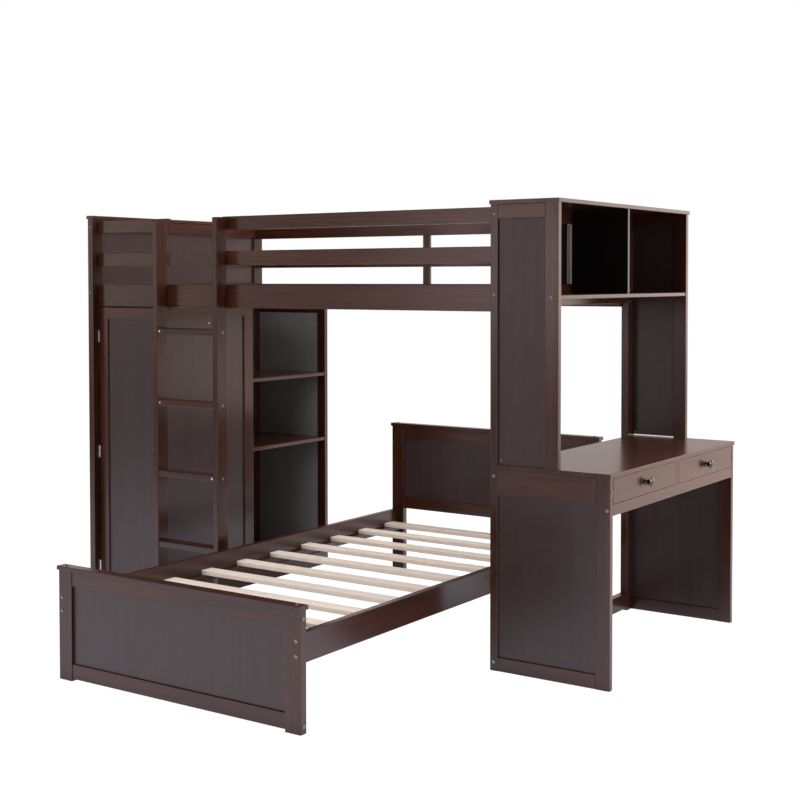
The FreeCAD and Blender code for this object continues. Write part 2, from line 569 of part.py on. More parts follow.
rod_start = (PANEL_FACE, "d.hanging_rail_inset", rod_z)
rod_end = ("%s - d.rail_flange_thick" % SIDE_PANEL_BACK, "d.hanging_rail_inset", rod_z)
node("wardrobe_hanging_rail", [joined("hanging_rail", [
    rod("hanger_rod", "+x", rod_start, "d.hanging_rail_radius", "%s - %s" % (SIDE_PANEL_BACK, PANEL_FACE)),
    rod("left_socket", "+x", rod_start, "d.rail_flange_radius", "d.rail_flange_thick"),
    rod("right_socket", "+x", rod_end, "d.rail_flange_radius", "d.rail_flange_thick")])])

# Wardrobe door

DOOR_LEFT = "(d.end_thick + 2 * d.hinge_leaf_thick + d.hinge_gap)"
DOOR_RIGHT = "(%s - d.door_edge_gap)" % CABINET_SIDE
DOOR_TOP = "(%s - d.door_head_gap)" % CABINET_TOP
DOOR_HIGH = "(%s - d.door_foot_gap)" % DOOR_TOP
DOOR_MIDDLE = "(d.door_foot_gap + %s / 2)" % DOOR_HIGH
door_inner = "%s + d.door_stile_width" % DOOR_LEFT
door_clear = "%s - %s - 2 * d.door_stile_width" % (DOOR_RIGHT, DOOR_LEFT)
stile_span = ("d.door_stile_width", "d.door_thick", DOOR_HIGH)
cross_span = (door_clear, "d.door_thick", "d.door_rail_height")
node("door_frame", [
    board("door_left_stile", "z", (DOOR_LEFT, "d.setback", "d.door_foot_gap"), stile_span),
    board("door_right_stile", "z", ("%s - d.door_stile_width" % DOOR_RIGHT, "d.setback", "d.door_foot_gap"),
          stile_span),
    board("door_top_rail", "x", (door_inner, "d.setback", "%s - d.door_rail_height" % DOOR_TOP), cross_span),
    board("door_foot_rail", "x", (door_inner, "d.setback", "d.door_foot_gap"), cross_span),
])
node("door_panel", [
    plain_box("door_infill",
              (door_inner, "d.setback + d.panel_recess", "d.door_foot_gap + d.door_rail_height"),
              (door_clear, "d.side_panel_thick", "%s - 2 * d.door_rail_height" % DOOR_HIGH))])

# Hinges: each has a frame leaf with the outer knuckles, a door leaf with the middle knuckle, a pin

HINGE_X = "(d.end_thick + d.hinge_gap + d.hinge_barrel_radius)"
HINGE_Y = "(d.setback - d.hinge_gap - d.hinge_barrel_radius)"
HINGE_CENTRES = ["d.door_foot_gap + d.hinge_inset", DOOR_MIDDLE, "%s - d.hinge_inset" % DOOR_TOP]
third = "d.hinge_height / 3"
frame_leaves = []
door_leaves = []
pins = []
for number, centre in enumerate(HINGE_CENTRES):
    low = "(%s - d.hinge_height / 2)" % centre
    door_leaf_x = "d.end_thick + d.hinge_leaf_thick + d.hinge_gap"
    bore = rod("hinge_bore_%d" % number, "+z", (HINGE_X, HINGE_Y, "%s - d.overrun" % low),
               "d.hinge_pin_radius + d.hinge_gap", "d.hinge_height + 2 * d.overrun")
    plate = plain_box("frame_plate_%d" % number,
                      ("d.end_thick", HINGE_Y + " - d.hinge_barrel_radius / 2", low),
                      ("d.hinge_leaf_thick", "d.hinge_leaf_width + d.hinge_barrel_radius / 2",
                       "d.hinge_height"))
    window = plain_box("knuckle_window_%d" % number,
                       ("d.end_thick - d.overrun", "%s - d.hinge_barrel_radius - d.overrun" % HINGE_Y,
                        "%s + %s - d.hinge_gap" % (low, third)),
                       ("d.hinge_leaf_thick + 2 * d.overrun", "2 * d.hinge_barrel_radius + 2 * d.overrun",
                        "%s + 2 * d.hinge_gap" % third))
    knuckle = "%s - d.hinge_gap" % third
    outer = [
        rod("low_knuckle_%d" % number, "+z", (HINGE_X, HINGE_Y, low), "d.hinge_barrel_radius", knuckle),
        rod("high_knuckle_%d" % number, "+z", (HINGE_X, HINGE_Y, "%s + 2 * %s + d.hinge_gap" % (low, third)),
            "d.hinge_barrel_radius", knuckle),
    ]
    leaf = joined("frame_hinge_%d" % number, [cut("frame_plate_cut_%d" % number, plate, [window])] + outer)
    frame_leaves.append(cut("hinge_frame_leaf_%d" % number, leaf, [bore]))
    tongue = plain_box("door_tongue_%d" % number, (door_leaf_x, HINGE_Y, "%s + %s" % (low, third)),
                       ("d.hinge_leaf_thick", "d.hinge_leaf_width", third))
    flat = plain_box("door_plate_%d" % number, (door_leaf_x, "d.setback + d.edge_round", low),
                     ("d.hinge_leaf_thick",
                      "d.hinge_leaf_width - d.hinge_gap - d.hinge_barrel_radius - d.edge_round",
                      "d.hinge_height"))
    inner = rod("middle_knuckle_%d" % number, "+z", (HINGE_X, HINGE_Y, "%s + %s" % (low, third)),
                "d.hinge_barrel_radius", third)
    leaf = joined("door_hinge_%d" % number, [tongue, flat, inner])
    door_leaves.append(cut("hinge_door_leaf_%d" % number, leaf, [bore]))
    pins.append(joined("hinge_pin_%d" % number, [
        rod("pin_shaft_%d" % number, "+z", (HINGE_X, HINGE_Y, low), "d.hinge_pin_radius", "d.hinge_height"),
        rod("pin_head_%d" % number, "+z", (HINGE_X, HINGE_Y, "%s + d.hinge_height" % low),
            "d.pin_head_radius", "d.pin_head_height")]))
node("hinge_frame_leaves", frame_leaves)
node("hinge_door_leaves", door_leaves)
node("hinge_pins", pins)

# Knobs: a turned mushroom with a hollow neck and a domed head


def knob(label, outward, spot):
    """A revolved knob that stands on its foot and points outward."""
    body = doc.addObject("PartDesign::Body", label + "_turning")
    sketch = body.newObject("Sketcher::SketchObject", label + "_profile")
    plane = [item for item in body.Origin.OriginFeatures if item.Role == "XZ_Plane"][0]
    sketch.AttachmentSupport = [(plane, "")]
    sketch.MapMode = "FlatFace"
    length = size("knob_length")
    rim = size("knob_rim_height")
    head = size("knob_head_radius")
    foot = size("knob_foot_radius")
    curve = size("knob_neck_curve")
    rise = length - rim
    dome = (head * head + rise * rise) / (2 * rise)
    chord = math.hypot(head - foot, rim)
    reach = math.sqrt(curve * curve - chord * chord / 4)
    neck = FreeCAD.Vector((foot + head) / 2 + reach * rim / chord, rim / 2 - reach * (head - foot) / chord, 0)
    top = FreeCAD.Vector(0, length, 0)
    base = FreeCAD.Vector(0, 0, 0)
    edge = FreeCAD.Vector(foot, 0, 0)
    up = FreeCAD.Vector(0, 0, 1)
    sketch.addGeometry(Part.LineSegment(top, base), False)
    sketch.addGeometry(Part.LineSegment(base, edge), False)
    sketch.addGeometry(Part.ArcOfCircle(Part.Circle(neck, up, curve),
                                        math.atan2(rim - neck.y, head - neck.x),
                                        math.atan2(-neck.y, foot - neck.x) + 2 * math.pi), False)
    sketch.addGeometry(Part.ArcOfCircle(Part.Circle(FreeCAD.Vector(0, length - dome, 0), up, dome),
                                        math.atan2(rim - length + dome, head), math.pi / 2), False)
    for pair in ((0, 2, 1, 1), (1, 2, 2, 2), (2, 1, 3, 1), (3, 2, 0, 1), (0, 2, -1, 1)):
        sketch.addConstraint(Sketcher.Constraint("Coincident", *pair))
    sketch.addConstraint(Sketcher.Constraint("Vertical", 0))
    sketch.addConstraint(Sketcher.Constraint("Horizontal", 1))
    sketch.addConstraint(Sketcher.Constraint("PointOnObject", 3, 3, -2))
    driven = [
        (("DistanceY", 0, 2, 0, 1, length), "d.knob_length"),
        (("DistanceX", 1, 1, 1, 2, foot), "d.knob_foot_radius"),
        (("DistanceX", 0, 2, 3, 1, head), "d.knob_head_radius"),
        (("DistanceY", 0, 2, 3, 1, rim), "d.knob_rim_height"),
        (("Radius", 2, curve), "d.knob_neck_curve"),
    ]
    for values, expression in driven:
        index = sketch.addConstraint(Sketcher.Constraint(*values))
        sketch.setExpression("Constraints[%d]" % index, expression)
    turned = body.newObject("PartDesign::Revolution", label + "_turned")
    turned.Profile = sketch
    turned.ReferenceAxis = (sketch, ["V_Axis"])
    turned.Angle = 360
    doc.recompute()
    rims = [number for number, ring in enumerate(turned.Shape.Edges, 1)
            if all(math.isclose(math.hypot(point.X, point.Y), head) and math.isclose(point.Z, rim)
                   for point in ring.Vertexes)]
    rounded = body.newObject("PartDesign::Fillet", label + "_rim")
    rounded.Base = (turned, ["Edge%d" % number for number in rims])
    rounded.setExpression("Radius", "d.knob_rim_round")
    body.Tip = rounded
    body.Placement = FreeCAD.Placement(FreeCAD.Vector(), TURNS[outward])
    node(label, [place(body, spot)])


knob("door_knob", "-y", ("%s - d.door_stile_width / 2" % DOOR_RIGHT, "d.setback", DOOR_MIDDLE))

# Tower: two side frames with their panels, the top, the shelf and the divider

tower_bolt = ("%s - d.tower_stile_width / 2" % TOWER_FACE, "%s + d.tower_shelf_thick / 2" % SHELF_UNDER)
bolt("loft", "tower_front", "-y", (tower_bolt[0], "0", tower_bolt[1]))
bolt("loft", "tower_rear", "+y", (tower_bolt[0], "d.depth", tower_bolt[1]))
tower_inner = "d.tower_reach - d.tower_stile_width"
tower_panels = []
for side, low_y in (("front", "0"), ("rear", REAR_INNER)):
    prefix = "tower_" + side
    node(prefix + "_frame", drilled([
        board(prefix + "_stile", "z", ("%s - d.tower_stile_width" % TOWER_FACE, low_y, "d.desk_height"),
              ("d.tower_stile_width", "d.side_frame_thick", "d.frame_height - d.desk_height")),
        board(prefix + "_top_rail", "x", (TOWER_BACK, low_y, "d.frame_height - d.tower_top_rail_height"),
              (tower_inner, "d.side_frame_thick", "d.tower_top_rail_height")),
    ], [prefix]))
    panel_y = "%s + (d.side_frame_thick - d.side_panel_thick) / 2" % low_y
    panel_z = "(d.desk_height + %s)" % {"front": "0", "rear": "d.tower_panel_rise"}[side]
    tower_panels.append(plain_box(
        prefix + "_infill", (TOWER_BACK, panel_y, panel_z),
        (tower_inner, "d.side_panel_thick", "d.frame_height - d.tower_top_rail_height - %s" % panel_z)))
    inward, inner_face = {"front": ("+y", panel_y + " + d.side_panel_thick"), "rear": ("-y", panel_y)}[side]
    bolt("loft", "corner_%s" % side, inward,
         ("%s + d.panel_screw_inset" % TOWER_BACK, inner_face, "d.desk_height + d.panel_screw_rise"),
         "d.panel_screw_length")
node("tower_side_panels", drilled(tower_panels, ["corner_"]))
node("tower_top", [
    board("tower_cap", "y",
          ("%s - d.cap_end_overhang" % RIGHT_END, "-d.cap_end_overhang", "d.frame_height"),
          ("d.cap_end_overhang + d.end_thick + d.tower_reach + d.cap_side_overhang", CAP_DEPTH,
           "d.cap_thick"))])
inner_depth = "d.depth - 2 * d.side_frame_thick"
node("tower_shelf", drilled([
    board("tower_shelf_board", "y", (TOWER_BACK, "d.side_frame_thick", SHELF_UNDER),
          ("d.tower_reach - d.shelf_setback", inner_depth, "d.tower_shelf_thick"))], ["tower_"]))
node("tower_divider", [
    board("tower_middle", "z",
          (TOWER_BACK, "(d.depth - d.tower_divider_thick) / 2", SHELF_TOP),
          ("d.tower_reach - d.shelf_setback", "d.tower_divider_thick", "d.tower_shelf_drop"))])

# Desk: side frames with panels, top, apron, divider and runners

apron_x = "(%s - d.apron_thick)" % DESK_FACE
bolt_x = "%s + d.apron_thick / 2" % apron_x
bolt_z = "d.apron_bottom + d.apron_height / 2"
bolt("loft", "desk_front_apron", "-y", (bolt_x, "0", bolt_z))
bolt("loft", "desk_rear_apron", "+y", (bolt_x, "d.depth", bolt_z))
desk_inner = "d.desk_reach - d.desk_stile_width"
desk_panels = []
for side, low_y in (("front", "0"), ("rear", REAR_INNER)):
    prefix = "desk_" + side
    bolt("loft", prefix + "_stile", "+x",
         (DESK_FACE, "%s + d.side_frame_thick / 2" % low_y,
          "%s + d.desk_top_rail_height / 2" % DESK_RAIL_BOTTOM),
         "d.desk_stile_width + d.desk_stile_width / 2")
    node(prefix + "_frame", drilled([
        board(prefix + "_stile", "z", ("%s - d.desk_stile_width" % DESK_FACE, low_y, "0"),
              ("d.desk_stile_width", "d.side_frame_thick", DESK_UNDER)),
        board(prefix + "_top_rail", "x", (TOWER_BACK, low_y, DESK_RAIL_BOTTOM),
              (desk_inner, "d.side_frame_thick", "d.desk_top_rail_height")),
        board(prefix + "_foot_rail", "x", (TOWER_BACK, low_y, "0"),
              (desk_inner, "d.side_frame_thick", "d.desk_foot_rail_height")),
    ], [prefix]))
    desk_panels.append(plain_box(
        prefix + "_infill",
        (TOWER_BACK, "%s + (d.side_frame_thick - d.side_panel_thick) / 2" % low_y, "d.desk_foot_rail_height"),
        (desk_inner, "d.side_panel_thick", "%s - d.desk_foot_rail_height" % DESK_RAIL_BOTTOM)))
node("desk_side_panels", desk_panels)
node("desk_top", [
    board("desk_slab", "y", (TOWER_BACK, "-d.cap_end_overhang", DESK_UNDER),
          ("d.desk_reach + d.cap_end_overhang", CAP_DEPTH, "d.desk_top_thick"))])
node("desk_apron", drilled([
    board("apron", "y", (apron_x, "d.side_frame_thick", "d.apron_bottom"),
          ("d.apron_thick", inner_depth, "d.apron_height"))], ["desk_front_apron", "desk_rear_apron"]))
divider_y = "((d.depth - d.desk_divider_thick) / 2)"
node("desk_divider", [
    board("desk_middle", "x", (TOWER_BACK, divider_y, APRON_TOP),
          ("d.desk_reach", "d.desk_divider_thick", "%s - %s" % (DESK_UNDER, APRON_TOP)))])
BAYS = {"front": "d.side_frame_thick", "rear": "(%s + d.desk_divider_thick)" % divider_y}
BAY_WIDTH = "(%s - d.side_frame_thick)" % divider_y
runners = []
for bay, low_y in BAYS.items():
    for side, offset in (("near", "0"), ("far", "%s - d.runner_width" % BAY_WIDTH)):
        runners.append(board("runner_%s_%s" % (bay, side), "x",
                             (TOWER_BACK, "%s + %s" % (low_y, offset), "%s - d.runner_height" % RUNNER_TOP),
                             ("d.desk_reach - d.apron_thick", "d.runner_width", "d.runner_height")))
node("drawer_runners", runners)

# Drawers: a face, a box of boards behind it and a knob

face_x = "(%s - d.drawer_face_thick)" % DESK_FACE
box_x = "(%s - d.drawer_box_length)" % face_x
box_z = "(%s + d.runner_gap)" % RUNNER_TOP
face_z = "(%s + d.drawer_foot_gap)" % APRON_TOP
face_height = "%s - d.drawer_head_gap - %s" % (DESK_UNDER, face_z)
box_inner = "(%s - 2 * d.drawer_side_gap - 2 * d.drawer_side_thick)" % BAY_WIDTH
box_side = ("d.drawer_box_length", "d.drawer_side_thick", "d.drawer_box_height")
for bay, low_y in BAYS.items():
    prefix = bay + "_drawer"
    inner_y = "(%s + d.drawer_side_gap + d.drawer_side_thick)" % low_y
    node(prefix + "_face", [
        board(prefix + "_front", "y", (face_x, "%s + d.drawer_edge_gap" % low_y, face_z),
              ("d.drawer_face_thick", "%s - 2 * d.drawer_edge_gap" % BAY_WIDTH, face_height))])
    node(prefix + "_box", [
        board(prefix + "_near_side", "x", (box_x, "%s - d.drawer_side_thick" % inner_y, box_z), box_side),
        board(prefix + "_far_side", "x", (box_x, "%s + %s" % (inner_y, box_inner), box_z), box_side),
        board(prefix + "_back", "y", (box_x, inner_y, "%s + d.drawer_bottom_thick" % box_z),
              ("d.drawer_side_thick", box_inner, "d.drawer_box_height - d.drawer_bottom_thick")),
        plain_box(prefix + "_bottom", (box_x, inner_y, box_z),
                  ("d.drawer_box_length", box_inner, "d.drawer_bottom_thick")),
    ])
    knob(prefix + "_knob", "+x",
         (DESK_FACE, "%s + %s / 2" % (low_y, BAY_WIDTH), "(%s + %s) / 2" % (APRON_TOP, DESK_UNDER)))

# Low bed: footboard, headboard, caps, side rails, ledgers and slats

RAIL_MIDDLE = "(d.bed_rail_bottom + d.bed_rail_height / 2)"
ENDS = {
    "foot": (FOOT_FRONT, "-y", FOOT_FRONT),
    "head": (HEAD_INNER, "+y", HEAD_BACK),
}
SIDES = {
    "left": ("-x", BED_LEFT, "+"),
    "right": ("+x", BED_RIGHT, "-"),
}
for end, (front, outward, face) in ENDS.items():
    top_rail_middle = "d.%s_post_height - d.%s_top_rail_height / 2" % (end, end)
    low_rail_bolt = "d.%s_low_rail_bottom + d.%s_low_rail_height / 3" % (end, end)
    for side, (away, edge, inward) in SIDES.items():
        name = "%s_%s_" % (end, side)
        for level, sign in (("low", "-"), ("high", "+")):
            bolt("bed", name + level, outward, ("%s %s d.bed_bolt_edge" % (edge, inward), face,
                                                "%s %s d.bed_bolt_spread / 2" % (RAIL_MIDDLE, sign)))
        for level, height in (("top_rail", top_rail_middle), ("low_rail", low_rail_bolt)):
            bolt("bed", name + level, away, (edge, "%s + d.bed_post_thick / 2" % front, height),
                 "d.bed_post_width + d.bed_post_width / 2")
        bolt("bed", name + "cap", "+z",
             ("%s %s d.cap_screw_inset" % (edge, inward), "%s + d.bed_post_thick / 2" % front,
              "d.%s_post_height + d.cap_thick" % end), SCREW_LENGTH)

caps = []
for end, (front, outward, face) in ENDS.items():
    post = ("d.bed_post_width", "d.bed_post_thick", "d.%s_post_height" % end)
    inner_x = "%s + d.bed_post_width" % BED_LEFT
    between = "d.bed_width - 2 * d.bed_post_width"
    rail_y = "%s + d.board_step" % front
    rail_depth = "d.bed_post_thick - 2 * d.board_step"
    top_z = "(d.%s_post_height - d.%s_top_rail_height)" % (end, end)
    panel_z = "(d.%s_low_rail_bottom + d.%s_low_rail_height)" % (end, end)
    node("bed_%sboard_frame" % end, drilled([
        board(end + "_left_post", "z", (BED_LEFT, front, "0"), post),
        board(end + "_right_post", "z", ("%s - d.bed_post_width" % BED_RIGHT, front, "0"), post),
        board(end + "_top_rail", "x", (inner_x, rail_y, top_z),
              (between, rail_depth, "d.%s_top_rail_height" % end)),
        board(end + "_low_rail", "x", (inner_x, rail_y, "d.%s_low_rail_bottom" % end),
              (between, rail_depth, "d.%s_low_rail_height" % end)),
    ], [end]))
    node("bed_%sboard_panel" % end, [
        plain_box(end + "_infill",
                  (inner_x, "%s + (d.bed_post_thick - d.side_panel_thick) / 2" % front, panel_z),
                  (between, "d.side_panel_thick", "%s - %s" % (top_z, panel_z)))])
    caps.append(board(end + "_cap", "x",
                      ("%s - d.cap_side_overhang" % BED_LEFT, "%s - d.bed_cap_overhang" % front,
                       "d.%s_post_height" % end),
                      ("d.bed_width + 2 * d.cap_side_overhang", "d.bed_post_thick + 2 * d.bed_cap_overhang",
                       "d.cap_thick")))
node("bed_caps", drilled(caps, [end + side + "cap" for end in ENDS for side in ("_left_", "_right_")]))
rail_left = "(%s + d.bed_rail_step)" % BED_LEFT
rail_right = "(%s - d.bed_rail_step - d.bed_rail_thick)" % BED_RIGHT
node("bed_side_rails", drilled([
    board("bed_%s_rail" % side, "y", (low_x, FOOT_INNER, "d.bed_rail_bottom"),
          ("d.bed_rail_thick", "d.bed_inner_length", "d.bed_rail_height"))
    for side, low_x in (("left", rail_left), ("right", rail_right))],
    [end + side + level for end in ENDS for side in ("_left_", "_right_") for level in ("low", "high")]))
ledger_left = "(%s + d.bed_rail_thick)" % rail_left
bed_ledger = ("d.ledger_width", "d.bed_inner_length", "d.ledger_height")
node("bed_ledgers", [
    board("bed_left_ledger", "y", (ledger_left, FOOT_INNER, "d.bed_rail_bottom"), bed_ledger),
    board("bed_right_ledger", "y", ("%s - d.ledger_width" % rail_right, FOOT_INNER, "d.bed_rail_bottom"),
          bed_ledger)])
node("bed_slats", [
    board("bed_slat_%d" % step, "x",
          (ledger_left + " + d.slat_end_gap",
           "%s + %s" % (FOOT_INNER, slat_start("d.bed_inner_length", step)),
           "d.bed_rail_bottom + d.ledger_height"),
          ("%s - %s - 2 * d.slat_end_gap" % (rail_right, ledger_left), "d.slat_width", "d.slat_thick"),
          "slat_round")
    for step in SLATS])
node("loft_bolts", bolts["loft"])
node("bed_bolts", bolts["bed"])

# Check every object, then write one file for each sub-part

doc.recompute()
for obj in doc.Objects:
    if "Invalid" in obj.State or "Error" in obj.State:
        raise RuntimeError("failed: %s %s" % (obj.Name, obj.State))
for label, obj in nodes.items():
    if obj.Label != label or obj.Shape.isNull() or not obj.Shape.isValid() or not obj.Shape.Solids:
        raise RuntimeError("bad sub-part: " + label)
os.makedirs("parts", exist_ok=True)
for label, obj in nodes.items():
    obj.Shape.exportStep(os.path.join("parts", label + ".step"))
print("%d sub-parts, %d solids" % (len(nodes), sum(len(obj.Shape.Solids) for obj in nodes.values())))
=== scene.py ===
import math

import bmesh
import bpy
from mathutils import Matrix, Vector


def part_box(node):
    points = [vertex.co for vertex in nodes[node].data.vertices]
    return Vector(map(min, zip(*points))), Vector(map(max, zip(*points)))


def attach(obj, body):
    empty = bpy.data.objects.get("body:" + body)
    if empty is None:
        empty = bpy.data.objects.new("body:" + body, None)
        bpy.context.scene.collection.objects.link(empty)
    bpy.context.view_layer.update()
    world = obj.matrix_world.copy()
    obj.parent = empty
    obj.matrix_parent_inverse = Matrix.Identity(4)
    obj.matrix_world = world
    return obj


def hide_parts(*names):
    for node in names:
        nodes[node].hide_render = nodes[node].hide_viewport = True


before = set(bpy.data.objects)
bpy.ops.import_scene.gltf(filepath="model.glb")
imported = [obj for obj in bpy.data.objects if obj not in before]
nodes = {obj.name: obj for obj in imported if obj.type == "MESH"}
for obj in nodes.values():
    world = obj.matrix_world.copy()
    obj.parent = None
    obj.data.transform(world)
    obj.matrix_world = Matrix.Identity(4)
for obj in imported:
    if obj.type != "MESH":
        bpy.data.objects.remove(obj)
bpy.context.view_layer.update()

# Left end frame: two pine stiles and three rails, with eased edges, dowelled and glued, with two
# thin panels in its grooves and a flat cap on top. The wood is stained espresso brown and sprayed
# with a semi-gloss lacquer, which shows the pale room over dark streaks of grain.

END_STILE = 0.060
PAST_FRAME = 0.01

PINE_STREAKS = ((0.32, "#2C140C"), (0.45, "#3D1D12"), (0.55, "#482416"), (0.68, "#552D1D"))
PINE_KNOT = "#1A0906"
PINE_PORE = "#200D08"
# Sizes in mm along and across the grain, and the detail, of the sweep of the rings, the streaks
# and the pores, which real boards have finer than a render can show
PINE_FIGURE = ((1100, 90, 1.0), (300, 8, 4.0), (70, 1.6, 2.0))
# Radians over the sweep's range, which make about 16 rings
PINE_RING_PHASE = 100.0
# A knot is about 14 mm wide, and one in three cells of this length and width in metres has one
KNOT_CELL_LENGTH = 0.32
KNOT_CELL_WIDTH = 0.09
KNOT_FREE_SHARE = 0.66

BROWN_FIGURE = ((0.3, "#352626"), (0.5, "#3C2A2A"), (0.7, "#432F2F"))
# Sizes in mm along and across of the upright figure, the mottle of the spray and its orange peel
BOARD_FIGURE = ((700, 28), (40, 40), (3, 3))


def linear(colour):
    """An sRGB hex colour as the linear red, green, blue and alpha of a shader's socket."""
    parts = [int(colour[i:i + 2], 16) / 255 for i in (1, 3, 5)]
    return [c / 12.92 if c <= 0.04045 else ((c + 0.055) / 1.055) ** 2.4 for c in parts] + [1.0]


def feed(tree, node, inputs):
    """Give a node's inputs, by name or number, values, hex colours, nodes or their outputs."""
    for key, value in dict(inputs).items():
        live = [socket for socket in node.inputs if socket.name == key and socket.enabled]
        target = node.inputs[key] if isinstance(key, int) else live[0]
        if isinstance(value, bpy.types.Node):
            value = [socket for socket in value.outputs if socket.enabled][0]
        if isinstance(value, bpy.types.NodeSocket):
            tree.links.new(value, target)
        else:
            target.default_value = linear(value) if str(value).startswith("#") else value


def add(tree, kind, inputs=(), stops=(), **settings):
    """Add a node with its settings, its inputs and the stops of its colour ramp."""
    made = tree.nodes.new(kind)
    for name, value in settings.items():
        setattr(made, name, value)
    feed(tree, made, inputs)
    for position, colour in stops[2:]:
        made.color_ramp.elements.new(position)
    for point, (position, colour) in zip(made.color_ramp.elements if stops else (), stops):
        point.position, point.color = position, linear(colour)
    return made


def new_finish(name):
    """A new material with its tree, its shader and its Object coordinates."""
    material = bpy.data.materials.new(name)
    material.use_nodes = True
    tree = material.node_tree
    place = add(tree, "ShaderNodeTexCoord").outputs["Object"]
    return material, tree, tree.nodes["Principled BSDF"], place


def grain_axes(tree, place, along, uprights=(), above=None):
    """Coordinates whose first part runs along the grain. Uprights are (axis, low, high) ranges
    of the frame whose boards stand upright, above a height where one is given."""
    split = add(tree, "ShaderNodeSeparateXYZ", {0: place}).outputs
    order = {"X": (0, 1, 2), "Y": (1, 0, 2), "Z": (2, 0, 1)}
    lying, standing = (
        add(tree, "ShaderNodeCombineXYZ", {i: split[j] for i, j in enumerate(order[way])})
        for way in (along, "Z"))
    if not uprights:
        return lying
    mask = 0.0
    for axis, low, high in uprights:
        inside = add(tree, "ShaderNodeMath", {
            0: split[axis], 1: (low + high) / 2, 2: (high - low) / 2}, operation="COMPARE")
        mask = add(tree, "ShaderNodeMath", {0: inside, 1: mask}, operation="MAXIMUM")
    if above is not None:
        higher = add(tree, "ShaderNodeMath", {0: split["Z"], 1: above}, operation="GREATER_THAN")
        mask = add(tree, "ShaderNodeMath", {0: mask, 1: higher}, operation="MULTIPLY")
    return add(tree, "ShaderNodeMix", {"Factor": mask, "A": lying, "B": standing},
               data_type="VECTOR")


def stained_pine(name, along, uprights=(), above=None):
    """Espresso-stained pine under semi-gloss lacquer: the stain sits dark in the soft early wood,
    so growth rings show as long wavy streaks, and the lacquer levels out all but the pores."""
    material, tree, shader, place = new_finish(name)
    axes = grain_axes(tree, place, along, uprights, above)
    sweep, streaks, pores = (
        add(tree, "ShaderNodeTexNoise", {
            "Vector": add(tree, "ShaderNodeVectorMath", {
                0: axes, 1: (1000 / length, 1000 / width, 1000 / width)}, operation="MULTIPLY"),
            "Scale": 1.0, "Detail": detail, "Roughness": 0.55})
        for length, width, detail in PINE_FIGURE)
    phase = add(tree, "ShaderNodeMath", {0: sweep, 1: PINE_RING_PHASE}, operation="MULTIPLY")
    rings = add(tree, "ShaderNodeMath", {0: phase}, operation="SINE")
    drift = add(tree, "ShaderNodeMath", {0: sweep, 1: 0.5}, operation="MULTIPLY")
    ringed = add(tree, "ShaderNodeMath", {0: rings, 1: 0.025, 2: drift}, operation="MULTIPLY_ADD")
    tone = add(tree, "ShaderNodeMath", {0: streaks, 1: 0.5, 2: ringed}, operation="MULTIPLY_ADD")
    wood = add(tree, "ShaderNodeValToRGB", {0: tone}, PINE_STREAKS)
    # The middle of a cell, where it is one with a knot
    net = add(tree, "ShaderNodeVectorMath", {
        0: axes, 1: (1 / KNOT_CELL_LENGTH, 1 / KNOT_CELL_WIDTH, 1 / KNOT_CELL_WIDTH)},
        operation="MULTIPLY")
    cells = add(tree, "ShaderNodeTexVoronoi", {"Vector": net, "Scale": 1.0})
    draw = add(tree, "ShaderNodeSeparateColor", {0: cells.outputs["Color"]})
    chosen = add(tree, "ShaderNodeMath", {0: draw, 1: KNOT_FREE_SHARE}, operation="GREATER_THAN")
    heart = add(tree, "ShaderNodeMapRange", {"Value": cells, "From Min": 0.15, "From Max": 0.04})
    knots = add(tree, "ShaderNodeMath", {0: heart, 1: chosen}, operation="MULTIPLY")
    knotted = add(tree, "ShaderNodeMix", {"Factor": knots, "A": wood, "B": PINE_KNOT},
                  data_type="RGBA")
    open_pores = add(tree, "ShaderNodeMapRange", {
        "Value": pores, "From Min": 0.32, "From Max": 0.5, "To Min": 0.5, "To Max": 0.0})
    colour = add(tree, "ShaderNodeMix", {"Factor": open_pores, "A": knotted, "B": PINE_PORE},
                 data_type="RGBA")
    fine = add(tree, "ShaderNodeMath", {0: pores, 1: 0.3}, operation="MULTIPLY")
    relief = add(tree, "ShaderNodeMath", {0: streaks, 1: 0.7, 2: fine}, operation="MULTIPLY_ADD")
    bump = add(tree, "ShaderNodeBump", {"Strength": 0.3, "Distance": 0.0002, "Height": relief})
    rough = add(tree, "ShaderNodeMapRange", {
        "Value": streaks, "From Min": 0.3, "From Max": 0.7, "To Min": 0.5, "To Max": 0.62})
    feed(tree, shader, {
        "Base Color": colour, "Roughness": rough, "Normal": bump, "Coat Normal": bump,
        "Specular IOR Level": 0.05, "Coat Weight": 0.95, "Coat Roughness": 0.22, "Coat IOR": 1.52})
    return material


def sprayed_board(name, figure_stops, gloss):
    """Thin fibreboard, primed and sprayed: no pores, a faint upright figure of the print under
    the lacquer, and a fine orange peel that softens what it reflects."""
    material, tree, shader, place = new_finish(name)
    axes = grain_axes(tree, place, "Z")
    figure, mottle, peel = (
        add(tree, "ShaderNodeTexNoise", {
            "Vector": add(tree, "ShaderNodeVectorMath", {
                0: axes, 1: (1000 / length, 1000 / width, 1000 / width)}, operation="MULTIPLY"),
            "Scale": 1.0, "Detail": 3.0})
        for length, width in BOARD_FIGURE)
    tone = add(tree, "ShaderNodeMix", {"Factor": 0.4, "A": figure, "B": mottle}, data_type="FLOAT")
    colour = add(tree, "ShaderNodeValToRGB", {0: tone}, figure_stops)
    bump = add(tree, "ShaderNodeBump", {"Strength": 0.2, "Distance": 0.0001, "Height": peel})
    rough = add(tree, "ShaderNodeMapRange", {
        "Value": mottle, "From Min": 0.3, "From Max": 0.7, "To Min": 0.42, "To Max": 0.52})
    feed(tree, shader, {
        "Base Color": colour, "Roughness": rough, "Normal": bump, "Coat Normal": bump,
        "Specular IOR Level": 0.1, "Coat Weight": gloss, "Coat Roughness": 0.3, "Coat IOR": 1.5})
    return material


